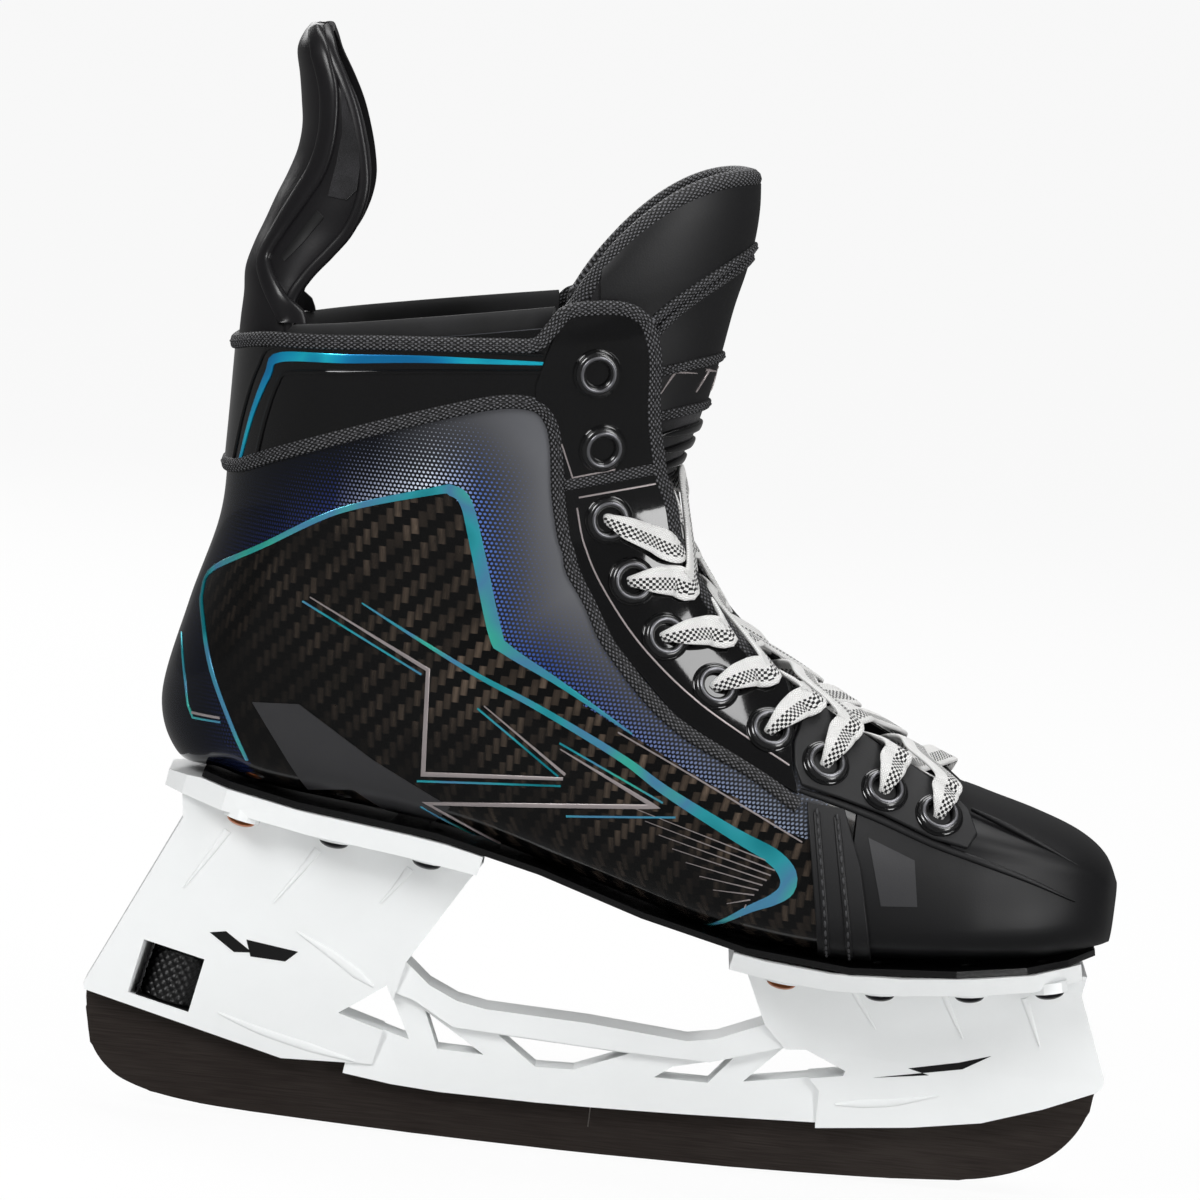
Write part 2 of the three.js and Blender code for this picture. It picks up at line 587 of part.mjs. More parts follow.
// ---- holder -----------------------------------------------------------------------------------------
const REAR_TOWER = [[-146.2, 35], [-122.3, 86], [-123.5, 95], [-36, 82], [-40, 76], [-55.2, 50.6], [-62, 20],
  [-88, 19], [-145.8, 33.2]];
const FRONT_TOWER = [[146.5, 38], [137, 62.4], [138, 68], [40, 66], [41.4, 59.8], [48.4, 44], [66, 26],
  [66, 15], [93, 18], [113, 21.5], [130, 27.4], [144.5, 33.8], [146.3, 35.6]];
const BRIDGE = [[-66, 56], [-56, 51.5], [-48, 44.8], [-39.5, 41], [-31, 39.5], [-2, 38.6], [27, 36.4],
  [35.4, 38], [48, 43.4], [62, 46.6], [72, 45.5], [72, 38], [54, 37.3], [34, 31], [11, 31.4], [-40, 33.4],
  [-52, 40], [-66, 44]];
const TRUSS_TOP = [[72, 42], [54, 39], [34, 34], [11, 34], [-40, 36], [-66, 46]];
const HOLES = [
  [[-59.9, 43.5], [-73.0, 34.0], [-52.0, 28.1]],
  [[-48.3, 36.9], [-43.8, 26.3], [-30.4, 26.0]],
  [[-26.9, 32.2], [-15.4, 24.1], [-4.5, 24.4], [10.9, 30.7]],
  [[18.6, 24.6], [34.2, 24.7], [40.6, 32.5], [23.7, 28.3]],
  [[44.1, 26.1], [72.3, 31.1], [72.8, 32.6], [61.0, 37.7], [54.7, 37.1]],
];

const mirrored = (half) => [...half, ...half.slice().reverse().map(([y, z]) => [-y, z])];

function makeHolder() {
  const wide = 24;
  const rearHalf = [[6.2, 5], [7.2, 20], [9.9, 42], [12, 62], [14.5, 90], [14.5, 104]];
  const frontHalf = [[6.2, 5], [7.2, 18], [9.9, 38], [14, 52], [17, 63], [17, 78]];
  const rearSection = beam(mirrored(rearHalf), -150, -30);
  const frontSection = beam(mirrored(frontHalf), 30, 150);
  const rear = slab(REAR_TOWER, -wide, wide).intersect(rearSection);
  const front = slab(FRONT_TOWER, -wide, wide).intersect(frontSection);
  const trussLow = range(-70, 70, 10).map((x) => [x, edgeAt(x)]);
  const truss = slab([...trussLow, ...TRUSS_TOP], -6.4, 6.4);
  const bridge = slab(BRIDGE, -9, 9);
  const heelRows = [-127.5, -122, -110, -85, -60, -36];
  const toeRows = [37, 46, 65, 85, 105, 122, 135.5];
  const heelFlange = solePlate(heelRows, -FLANGE_HEEL, 0, 1, 3);
  const aboveSole = solePlate([-150, ...SOLE_ROWS, 150], 0, 40, -30);
  const toeFlange = solePlate(toeRows, -FLANGE_TOE, 0, 1, 6);
  const pads = rivetPlaces.map(({ point, axis, depth }) => drill(point, axis, 5.4, -depth, -depth + 3));

  const slotTop = range(150, -150, 24).map((x) => [x, edgeAt(x) + 4.6]);
  const slot = slab([[-150, -5], [150, -5], ...slotTop], -SLOT / 2, SLOT / 2);
  const hookOutline = fromHook([[-8.5, -12], [8.5, -12], [8.5, 9], [0, 11.5], [-8.5, 9]]);
  const hookSlot = slab(hookOutline, -SLOT / 2, SLOT / 2);
  const holes = HOLES.map((hole) => slab(hole, -wide, wide));
  const window = new THREE.BoxGeometry(17.6, 16.2, 2 * wide);
  const windowCut = solid(stand(window, wheelAt, wheelAxis));
  const bore = drill(wheelAt, wheelAxis, STUD_R + 1.7, -14, 19, 14);
  const heelHollow = slab([[-112, 62], [-104, 99], [-50, 90], [-62, 62]], -7.5, 7.5);
  const toeHollow = slab([[62, 50], [56, 74], [122, 78], [126, 50]], -9.5, 9.5);
  const body = union(rear, front, truss, bridge, heelFlange, toeFlange, ...pads);
  return geometryOf(cut(
    body, slot, hookSlot, windowCut, bore, heelHollow, toeHollow, ...holes, ...rivetDrills, aboveSole));
}

// ---- assembly ---------------------------------------------------------------------------------------
add('runner', makeRunner(), FINISH.steel);
add('holder', makeHolder(), FINISH.holder);
add('lock_wheel', makeWheel(), FINISH.lock);
add('lock_stud', makeStud(), FINISH.rivet);
add('outsole', geometryOf(makeOutsole()), FINISH.gloss);
add('boot_shell', geometryOf(makeShell()), FINISH.shell);
add('toe_cap', geometryOf(makeToeCap()), FINISH.rubber);
add('liner', geometryOf(makeLiner()), FINISH.knit);
add('footbed', geometryOf(makeFootbed()), FINISH.knit);
for (const [name, side] of Object.entries(SIDES)) {
  add(`ankle_tab_${name}`, geometryOf(makeTab(side)), FINISH.gloss);
  add(`facing_${name}`, geometryOf(makeFacing(side)), FINISH.gloss);
  add(`toe_facing_${name}`, geometryOf(makeToeFacing(side)), FINISH.rubber);
  add(`toe_band_${name}`, geometryOf(makeBand(side)), FINISH.rubber);
  EYELETS.forEach((_, i) => add(`eyelet_${name}_${i + 1}`, makeEyelet(i, side), FINISH.eyelet));
}
for (const place of rivetPlaces) {
  add(place.name, makeRivet(place), place.first ? FINISH.copper : FINISH.rivet);
}
add('tongue_lower', makeTongue(TONGUE_LOWER, 5), FINISH.felt);
add('tongue_upper', makeTongue(TONGUE_UPPER, 6), FINISH.rubber);
add('tendon_guard', makeGuard(GUARD, 5, 0, 0), FINISH.rubber);
add('tendon_pad', makeGuard(GUARD.slice(3, 13), 4, 5.4, 2), FINISH.felt);
add('lace_first_half', makeLace(lacePath(-1, 1)), FINISH.lace);
add('lace_second_half', makeLace(lacePath(1, -1)), FINISH.lace);

export default skate;
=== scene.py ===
"""A right-foot ice hockey skate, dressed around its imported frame.

Every class below works in millimetres: +X runs to the toe, -Y is the outer side of the foot and
+Z is up from the ice. `piece` turns the finished shapes to metres.
"""
from __future__ import annotations

import logging
import math
from collections.abc import Callable, Sequence
from dataclasses import dataclass, field
from enum import Enum

import bmesh
import bpy
from mathutils import Matrix, Vector
from mathutils.geometry import delaunay_2d_cdt

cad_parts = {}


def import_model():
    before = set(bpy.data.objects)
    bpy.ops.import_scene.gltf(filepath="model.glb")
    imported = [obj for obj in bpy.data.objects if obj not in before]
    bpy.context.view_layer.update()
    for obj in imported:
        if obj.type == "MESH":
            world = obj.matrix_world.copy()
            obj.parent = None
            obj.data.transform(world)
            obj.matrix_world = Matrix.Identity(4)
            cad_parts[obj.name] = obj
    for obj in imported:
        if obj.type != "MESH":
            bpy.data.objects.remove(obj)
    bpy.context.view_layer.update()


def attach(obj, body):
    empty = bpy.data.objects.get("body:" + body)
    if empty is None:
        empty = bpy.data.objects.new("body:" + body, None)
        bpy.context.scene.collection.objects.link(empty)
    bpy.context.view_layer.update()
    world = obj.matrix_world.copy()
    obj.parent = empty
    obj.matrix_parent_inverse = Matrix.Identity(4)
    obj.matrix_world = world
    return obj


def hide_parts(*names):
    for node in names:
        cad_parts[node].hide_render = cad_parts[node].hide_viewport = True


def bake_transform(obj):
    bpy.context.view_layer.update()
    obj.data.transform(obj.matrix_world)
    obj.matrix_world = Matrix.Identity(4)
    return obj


LOG = logging.getLogger("skate")
MM = 0.001
Spot = tuple[float, float]
Outline = Sequence[Spot]
Frame = tuple[Vector, Vector]
Surface = Callable[[float, float, float], Frame]
# What a finish draws: its colour socket and, where it has relief, its height socket.
Drawn = tuple[bpy.types.NodeSocket, "bpy.types.NodeSocket | None"]


class Side(Enum):
    """The two flanks of the boot, by the sign of Y."""

    OUTER = -1
    INNER = 1

    @property
    def label(self) -> str:
        """The word used in piece names."""
        return self.name.lower()


# ---- numbers and curves -------------------------------------------------------------------------

def through(rows: Sequence[Sequence[float]], t: float) -> list[float]:
    """Read a smooth value between evenly spaced rows.

    Args:
        rows: Rows of numbers that the curve passes through.
        t: Place along the rows, 0 at the first.

    Returns:
        One interpolated row.
    """
    last = len(rows) - 1
    i = min(last - 1, max(0, math.floor(t)))
    u = t - i
    p, q, r, w = rows[max(0, i - 1)], rows[i], rows[i + 1], rows[min(last, i + 2)]
    out = []
    for a, b, c, d in zip(p, q, r, w):
        tension, release = 0.5 * (c - a), 0.5 * (d - b)
        bend = 2 * b - 2 * c + tension + release
        swing = -3 * b + 3 * c - 2 * tension - release
        out.append(((bend * u + swing) * u + tension) * u + b)
    return out


def spread(low: float, high: float, count: int) -> list[float]:
    """Return count + 1 even steps from low to high."""
    return [low + (high - low) * i / count for i in range(count + 1)]


def walk(points: Outline, step: float, smooth: bool) -> list[tuple[Spot, float]]:
    """Step along a line through points.

    Args:
        points: Corners or through-points of the line.
        step: Greatest distance between two steps.
        smooth: Round the line through its points instead of cornering.

    Returns:
        Each step's place, and its share of the way counted in points.
    """
    steps = []
    for i in range(len(points) - 1):
        (x0, z0), (x1, z1) = points[i], points[i + 1]
        count = max(1, math.ceil(math.hypot(x1 - x0, z1 - z0) / step))
        for k in range(count):
            t = i + k / count
            place = through(points, t) if smooth else [
                x0 + (x1 - x0) * k / count, z0 + (z1 - z0) * k / count]
            steps.append(((place[0], place[1]), t))
    steps.append((tuple(points[-1]), len(points) - 1))
    return steps


def blend_list(values: Sequence[float], t: float) -> float:
    """Read a straight-line value at t from a list of values."""
    i = min(len(values) - 2, max(0, int(t)))
    return values[i] + (values[i + 1] - values[i]) * (t - i)


def inside(spot: Spot, outline: Outline) -> bool:
    """Tell whether a spot lies within a closed outline."""
    x, z = spot
    hit = False
    for (x0, z0), (x1, z1) in zip(outline, [*outline[1:], outline[0]]):
        if (z0 > z) != (z1 > z) and x < (x1 - x0) * (z - z0) / (z1 - z0) + x0:
            hit = not hit
    return hit


def distance_to(spot: Spot, line: Outline) -> float:
    """Measure from a spot to the nearest place on an open line."""
    best = 1e9
    for (x0, z0), (x1, z1) in zip(line, line[1:]):
        dx, dz = x1 - x0, z1 - z0
        share = ((spot[0] - x0) * dx + (spot[1] - z0) * dz) / (dx * dx + dz * dz)
        share = min(1.0, max(0.0, share))
        best = min(best, math.hypot(spot[0] - x0 - dx * share, spot[1] - z0 - dz * share))
    return best


# ---- meshes -------------------------------------------------------------------------------------

@dataclass
class Shape:
    """Points in millimetres, faces, and what a finish reads off them."""

    points: list[Vector] = field(default_factory=list)
    faces: list[tuple[int, ...]] = field(default_factory=list)
    uvs: list[Spot] | None = None
    marks: dict[str, list[float]] = field(default_factory=dict)

    def add(self, other: Shape) -> Shape:
        """Take in another shape's points and faces."""
        base = len(self.points)
        self.points += other.points
        self.faces += [tuple(base + i for i in face) for face in other.faces]
        if other.uvs is not None:
            self.uvs = (self.uvs or []) + other.uvs
        return self

    def outward(self) -> Shape:
        """Turn every face over when the closed shape is inside out."""
        volume = 0.0
        for face in self.faces:
            a = self.points[face[0]]
            for i in range(1, len(face) - 1):
                volume += a.dot(self.points[face[i]].cross(self.points[face[i + 1]]))
        if volume < 0:
            self.faces = [tuple(reversed(face)) for face in self.faces]
        return self


def piece(name: str, shape: Shape, finish: bpy.types.Material,
          crease: float = 40.0) -> bpy.types.Object:
    """Make a mesh object from a shape.

    Args:
        name: The piece's name.
        shape: Its points, faces, and marks.
        finish: The material it wears.
        crease: Angle in degrees past which an edge stays sharp.

    Returns:
        The new object, at the origin.
    """
    mesh = bpy.data.meshes.new(name)
    mesh.from_pydata([p * MM for p in shape.points], [], shape.faces)
    if shape.uvs is not None:
        layer = mesh.uv_layers.new(name="Laid")
        for loop in mesh.loops:
            layer.data[loop.index].uv = shape.uvs[loop.vertex_index]
    for mark, values in shape.marks.items():
        mesh.attributes.new(mark, "FLOAT", "POINT").data.foreach_set("value", values)
    mesh.shade_smooth()
    mesh.set_sharp_from_angle(angle=math.radians(crease))
    mesh.materials.append(finish)
    made = bpy.data.objects.new(name, mesh)
    bpy.context.scene.collection.objects.link(made)
    return made


def wall(over: list[list[Vector]], under: list[list[Vector]]) -> Shape:
    """Close the space between two grids of points.

    Args:
        over: Rows of the outer skin.
        under: Rows of the inner skin, as many.

    Returns:
        A closed shape with its faces outwards.
    """
    rows, cols = len(over), len(over[0])
    points = [p for row in over for p in row] + [p for row in under for p in row]

    def at(skin: int, i: int, j: int) -> int:
        """Index a point of one skin."""
        return skin * rows * cols + i * cols + j

    faces = []
    for i in range(rows - 1):
        for j in range(cols - 1):
            faces.append((at(0, i, j), at(0, i + 1, j), at(0, i + 1, j + 1), at(0, i, j + 1)))
            faces.append((at(1, i, j), at(1, i, j + 1), at(1, i + 1, j + 1), at(1, i + 1, j)))
        faces.append((at(0, i + 1, 0), at(0, i, 0), at(1, i, 0), at(1, i + 1, 0)))
        faces.append((at(0, i, cols - 1), at(0, i + 1, cols - 1), at(1, i + 1, cols - 1),
                      at(1, i, cols - 1)))
    for j in range(cols - 1):
        faces.append((at(0, 0, j), at(0, 0, j + 1), at(1, 0, j + 1), at(1, 0, j)))
        faces.append((at(0, rows - 1, j + 1), at(0, rows - 1, j), at(1, rows - 1, j),
                      at(1, rows - 1, j + 1)))
    return Shape(points, faces).outward()


def rings(loops: list[list[Vector]], ends: bool = True) -> Shape:
    """Skin a row of closed loops of points.

    Args:
        loops: Loops with the same number of points.
        ends: Close the first and last loop.

    Returns:
        The skinned shape.
    """
    n = len(loops[0])
    points = [p for loop in loops for p in loop]
    faces = []
    for i in range(len(loops) - 1):
        for j in range(n):
            a, b = i * n + j, i * n + (j + 1) % n
            faces.append((a, b, b + n, a + n))
    if ends:
        faces.append(tuple(reversed(range(n))))
        faces.append(tuple((len(loops) - 1) * n + j for j in range(n)))
    return Shape(points, faces).outward()


def oval(count: int, squareness: float = 2.0) -> list[Spot]:
    """Return a unit oval, from round (2) towards square."""
    spots = []
    for i in range(count):
        c, s = math.cos(2 * math.pi * i / count), math.sin(2 * math.pi * i / count)
        spots.append((math.copysign(abs(c) ** (2 / squareness), c),
                      math.copysign(abs(s) ** (2 / squareness), s)))
    return spots


PILLOW = [(-1.0, 0.0), (-0.93, 0.5), (-0.72, 0.84), (-0.36, 1.0), (0.0, 1.03), (0.36, 1.0),
          (0.72, 0.84), (0.93, 0.5), (1.0, 0.0), (0.96, -1.0), (-0.96, -1.0)]
FLAT = [(-1.0, -1.0), (-1.0, 0.7), (-0.8, 1.0), (0.8, 1.0), (1.0, 0.7), (1.0, -1.0)]
ROUND = oval(12)


def sweep(stations: Sequence[tuple[Vector, Vector, Vector]], section: Sequence[Spot]) -> Shape:
    """Run a cross-section along a row of stations.

    Args:
        stations: Middle, half-width vector and half-thickness vector of each.
        section: Unit outline of the cross-section.

    Returns:
        A closed shape; its UVs are millimetres along and across.
    """
    loops = [[at + across * u + rise * v for u, v in section] for at, across, rise in stations]
    shape = rings(loops)
    run = 0.0
    uvs: list[Spot] = []
    for i, (at, across, _) in enumerate(stations):
        if i:
            run += (at - stations[i - 1][0]).length
        uvs += [(run, across.length * u) for u, _ in section]
    shape.uvs = uvs
    return shape


def lay_strip(surface: Surface, line: Outline, widths: Sequence[float], rise: float, thick: float,
              section: Sequence[Spot] = FLAT, smooth: bool = False, step: float = 1.6) -> Shape:
    """Lay a strip along a line on a surface.

    Args:
        surface: Gives a point and a normal for a place and a rise over it.
        line: Places along the strip's middle.
        widths: Width at each place of the line, or one width.
        rise: Height of the strip's top over the surface.
        thick: Depth of the strip below its top.
        section: Unit cross-section.
        smooth: Round the line through its places.
        step: Greatest distance between two stations.

    Returns:
        The strip as a closed shape.
    """
    steps = walk(line, step, smooth)
    frames = [surface(x, z, rise - thick / 2) for (x, z), _ in steps]
    spans, stretches = len(widths) - 1, len(line) - 1
    sizes = [blend_list(widths, t * spans / stretches) if spans else widths[0] for _, t in steps]
    stations = []
    for i, (at, normal) in enumerate(frames):
        back = (at - frames[max(0, i - 1)][0]).normalized()
        ahead = (frames[min(len(frames) - 1, i + 1)][0] - at).normalized()
        way = (back + ahead).normalized()
        mitre = 1.0
        if back.length > 0.5 and ahead.length > 0.5:
            mitre = min(2.6, 1 / max(0.3, back.dot(way)))
        across = normal.cross(way).normalized()
        stations.append((at, across * (sizes[i] / 2 * mitre), normal * (thick / 2)))
    return sweep(stations, section)


def lay_panel(surface: Surface, outline: Outline, spacing: float, rise: float,
              thick: float) -> Shape:
    """Lay a panel with a free outline on a surface.

    Args:
        surface: Gives a point and a normal for a place and a rise over it.
        outline: Corners of the panel.
        spacing: Distance between the points that follow the surface.
        rise: Height of the panel's face over the surface.
        thick: Depth of the panel below its face.

    Returns:
        The panel as a closed shape.
    """
    rim = [spot for spot, _ in walk([*outline, outline[0]], spacing, False)][:-1]
    xs, zs = [x for x, _ in rim], [z for _, z in rim]
    fill = []
    for i in range(int((max(xs) - min(xs)) / spacing) + 1):
        for j in range(int((max(zs) - min(zs)) / spacing) + 1):
            spot = (min(xs) + (i + 0.5 * (j % 2)) * spacing, min(zs) + j * spacing)
            if inside(spot, rim) and distance_to(spot, [*rim, rim[0]]) > 0.45 * spacing:
                fill.append(spot)
    flat = [Vector(spot) for spot in [*rim, *fill]]
    edges = [(i, (i + 1) % len(rim)) for i in range(len(rim))]
    spots, _, triangles, *_ = delaunay_2d_cdt(flat, edges, [], 1, 1e-5)
    top = [surface(x, z, rise)[0] for x, z in spots]
    low = [surface(x, z, rise - thick)[0] for x, z in spots]
    n = len(spots)
    faces = [tuple(t) for t in triangles] + [tuple(n + i for i in reversed(t)) for t in triangles]
    border: dict[tuple[int, int], int] = {}
    for t in triangles:
        for a, b in zip(t, [*t[1:], t[0]]):
            border[(a, b)] = border.get((a, b), 0) + 1
    faces += [(b, a, n + a, n + b) for a, b in border if (b, a) not in border]
    return Shape(top + low, faces).outward()


def soften(made: bpy.types.Object, width: float, segments: int = 2, angle: float = 30.0) -> None:
    """Round a piece's hard edges with a live bevel, width in millimetres."""
    bevel = made.modifiers.new("Soft edges", "BEVEL")
    bevel.width = width * MM
    bevel.segments = segments
    bevel.limit_method = "ANGLE"
    bevel.angle_limit = math.radians(angle)
    bevel.harden_normals = False


def copy_of_node(node: str, name: str, finish: bpy.types.Material) -> bpy.types.Object:
    """Copy a frame node's mesh, merged and cleared of flat seams, as a new piece.

    Args:
        node: The node to copy.
        name: The new piece's name.
        finish: The material it wears.

    Returns:
        The new object.
    """
    source = bpy.data.objects[node]
    mesh = source.data.copy()
    mesh.name = name
    mesh.materials.clear()
    mesh.materials.append(finish)
    build = bmesh.new()
    build.from_mesh(mesh)
    bmesh.ops.remove_doubles(build, verts=build.verts, dist=1e-5)
    bmesh.ops.dissolve_limit(build, angle_limit=math.radians(0.8), verts=build.verts,
                             edges=build.edges)
    build.to_mesh(mesh)
    build.free()
    mesh.shade_smooth()
    mesh.set_sharp_from_angle(angle=math.radians(28))
    made = bpy.data.objects.new(name, mesh)
    bpy.context.scene.collection.objects.link(made)
    return made


# ---- node trees ---------------------------------------------------------------------------------

def node(tree: bpy.types.NodeTree, kind: str, inputs: dict | None = None,
         **settings: object) -> bpy.types.Node:
    """Add a node with its settings and links.

    Args:
        tree: The tree it joins.
        kind: Its type name.
        inputs: Values or sockets, by input name or number.
        settings: Properties of the node.

    Returns:
        The new node.
    """
    made = tree.nodes.new(kind)
    for key, value in settings.items():
        setattr(made, key, value)
    for key, value in (inputs or {}).items():
        if isinstance(value, bpy.types.NodeSocket):
            tree.links.new(value, made.inputs[key])
        else:
            made.inputs[key].default_value = value
    return made


def calc(tree: bpy.types.NodeTree, operation: str, *values: object,
         clamp: bool = False) -> bpy.types.NodeSocket:
    """Add a maths node over values or sockets and return its result."""
    inputs = dict(enumerate(values))
    return node(tree, "ShaderNodeMath", inputs, operation=operation, use_clamp=clamp).outputs[0]


def remap(tree: bpy.types.NodeTree, value: bpy.types.NodeSocket, low: float, high: float,
          to_low: float = 0.0, to_high: float = 1.0) -> bpy.types.NodeSocket:
    """Stretch a value from one range to another, clamped, and return the result."""
    return node(tree, "ShaderNodeMapRange", {"Value": value, "From Min": low, "From Max": high,
                                             "To Min": to_low, "To Max": to_high}).outputs[0]


def mix_colors(tree: bpy.types.NodeTree, share: bpy.types.NodeSocket, low: object,
               high: object) -> bpy.types.NodeSocket:
    """Mix two colours by a share and return the result."""
    return node(tree, "ShaderNodeMix", {"Factor": share, 6: low, 7: high},
                data_type="RGBA").outputs[2]


def noise(tree: bpy.types.NodeTree, place: bpy.types.NodeSocket, scale: float, detail: float = 2.0,
          roughness: float = 0.5) -> bpy.types.NodeSocket:
    """Add a noise over a place and return its value."""
    return node(tree, "ShaderNodeTexNoise", {"Vector": place, "Scale": scale, "Detail": detail,
                                             "Roughness": roughness}).outputs["Fac"]


def color_ramp(tree: bpy.types.NodeTree, share: bpy.types.NodeSocket,
               tints: Sequence[tuple[float, str]]) -> bpy.types.NodeSocket:
    """Read a colour off a ramp of places and tints and return it."""
    ramp = node(tree, "ShaderNodeValToRGB", {"Fac": share})
    stops = ramp.color_ramp.elements
    for i, (where, tint) in enumerate(tints):
        stop = stops[i] if i < 2 else stops.new(where)
        stop.position = where
        stop.color = linear(tint)
    return ramp.outputs["Color"]


def lattice(tree: bpy.types.NodeTree, along: bpy.types.NodeSocket, across: bpy.types.NodeSocket,
            slant: float, yarn: float) -> bpy.types.NodeSocket:
    """Cross two slanted rows of yarns and return their height, 0 to 1."""
    waves = []
    for sign in (1.0, -1.0):
        way = calc(tree, "MULTIPLY_ADD", across, slant * sign, along)
        wave = calc(tree, "SINE", calc(tree, "MULTIPLY", way, math.pi / yarn))
        waves.append(calc(tree, "ABSOLUTE", wave))
    return calc(tree, "MULTIPLY", waves[0], waves[1])


def linear(color: str) -> tuple[float, float, float, float]:
    """Turn an sRGB hex colour into linear red, green, blue and alpha."""
    parts = [int(color[i:i + 2], 16) / 255 for i in (1, 3, 5)]
    return (*[c / 12.92 if c <= 0.04045 else ((c + 0.055) / 1.055) ** 2.4 for c in parts], 1.0)


def per_mm(size: float) -> float:
    """Return the scale that gives a pattern features of a size in millimetres."""
    return 1 / (size * MM)


@dataclass(frozen=True)
class Finish:
    """A moulded or coated surface: even colour, faint mottle, fine grain."""

    name: str
    color: str
    shade: str
    roughness: float
    metallic: float = 0.0
    ior: float = 1.5
    coat: float = 0.0
    sheen: float = 0.0
    grain: float = 0.6
    depth: float = 0.02

    def material(self) -> bpy.types.Material:
        """Build the material, once."""
        known = bpy.data.materials.get(self.name)
        if known:
            return known
        made = bpy.data.materials.new(self.name)
        made.use_nodes = True
        tree = made.node_tree
        shader = next(n for n in tree.nodes if n.type == "BSDF_PRINCIPLED")
        shader.inputs["Roughness"].default_value = self.roughness
        shader.inputs["Metallic"].default_value = self.metallic
        shader.inputs["IOR"].default_value = self.ior
        shader.inputs["Coat Weight"].default_value = self.coat
        shader.inputs["Coat Roughness"].default_value = 0.04
        shader.inputs["Sheen Weight"].default_value = self.sheen
        shader.inputs["Sheen Roughness"].default_value = 0.5
        color, height = self.pattern(tree)
        tree.links.new(color, shader.inputs["Base Color"])
        if height is not None:
            bump = node(tree, "ShaderNodeBump",
                        {"Height": height, "Distance": self.depth * MM, "Strength": 1.0})
            tree.links.new(bump.outputs["Normal"], shader.inputs["Normal"])
        return made

    def pattern(self, tree: bpy.types.NodeTree) -> Drawn:
        """Draw the surface.

        Args:
            tree: The material's tree.

        Returns:
            The colour socket and the height socket.
        """
        place = node(tree, "ShaderNodeTexCoord").outputs["Object"]
        mottle = noise(tree, place, per_mm(18), 3.0)
        grain = noise(tree, place, per_mm(self.grain), 2.0)
        mix = mix_colors(tree, mottle, linear(self.color), linear(self.shade))
        return mix, grain


@dataclass(frozen=True)
class FeltCloth(Finish):
    """Needled felt or brushed lining: fibre specks over a soft nap."""

    def pattern(self, tree: bpy.types.NodeTree) -> Drawn:
        """Draw the specks; see Finish.pattern."""
        place = node(tree, "ShaderNodeTexCoord").outputs["Object"]
        fibre = noise(tree, place, per_mm(self.grain), 6.0, 0.75)
        cloud = noise(tree, place, per_mm(9), 2.0)
        both = calc(tree, "MULTIPLY", fibre, cloud)
        wide = remap(tree, both, 0.12, 0.4)
        mix = mix_colors(tree, wide, linear(self.shade), linear(self.color))
        return mix, fibre


@dataclass(frozen=True)
class WovenTape(Finish):
    """Woven black nylon binding: a slanted lattice of yarns laid along the tape's own length, with
    a painted grey highlight on the yarn crowns and painted black shade in the grooves.
    """

    yarn: float = 1.8

    def pattern(self, tree: bpy.types.NodeTree) -> Drawn:
        """Draw the lattice on the tape's own millimetres; see Finish.pattern."""
        laid = node(tree, "ShaderNodeUVMap", uv_map="Laid").outputs["UV"]
        parts = node(tree, "ShaderNodeSeparateXYZ", {0: laid})
        weave = lattice(tree, parts.outputs[0], parts.outputs[1], 1.6, self.yarn)
        # Painted light: yarn crowns get the grey highlight colour, grooves the black shade colour.
        lift = remap(tree, weave, 0.35, 0.95)
        mix = mix_colors(tree, lift, linear(self.shade), linear(self.color))
        return mix, weave


@dataclass(frozen=True)
class LaceCloth(Finish):
    """Flat braided lace: white yarn with checks of black yarn over one half of its width, and
    painted grey shade in the grooves of the braid.
    """

    yarn: float = 0.8

    def pattern(self, tree: bpy.types.NodeTree) -> Drawn:
        """Draw the braid and its checks on the lace's own millimetres; see Finish.pattern."""
        laid = node(tree, "ShaderNodeUVMap", uv_map="Laid").outputs["UV"]
        parts = node(tree, "ShaderNodeSeparateXYZ", {0: laid})
        along, across = parts.outputs[0], parts.outputs[1]
        lane = calc(tree, "MULTIPLY", across, 1 / self.yarn)
        row = calc(tree, "FLOOR", lane)
        odd = calc(tree, "MULTIPLY", row, 0.5)
        beat = calc(tree, "MULTIPLY_ADD", along, 1 / (2.1 * self.yarn), odd)
        phase = calc(tree, "FRACT", beat)
        dash = calc(tree, "LESS_THAN", phase, 0.5)
        low = calc(tree, "GREATER_THAN", across, -2.9)
        high = calc(tree, "LESS_THAN", across, 0.7)
        band = calc(tree, "MULTIPLY", low, high)
        black = calc(tree, "MULTIPLY", dash, band)
        braid = lattice(tree, along, across, 1.1, self.yarn)
        # Painted shade: the braid's grooves are greyer than its white crowns.
        pale = mix_colors(tree, braid, linear("#dddcd9"), linear(self.color))
        mix = mix_colors(tree, black, pale, linear(self.shade))
        return mix, braid


@dataclass(frozen=True)
class ShiftInk(Finish):
    """Colour-shifting metallic ink: teal, blue and mint drift along the line."""

    tints: tuple[str, ...] = ("#0f8f9c", "#37b7c4", "#5a9ec8", "#48cdb8", "#1fa4b4")
    drift: float = 26.0

    def pattern(self, tree: bpy.types.NodeTree) -> Drawn:
        """Draw the drifting tints; see Finish.pattern."""
        place = node(tree, "ShaderNodeTexCoord").outputs["Object"]
        cloud = noise(tree, place, per_mm(self.drift), 1.0)
        places = spread(0.3, 0.7, len(self.tints) - 1)
        return color_ramp(tree, cloud, list(zip(places, self.tints))), None


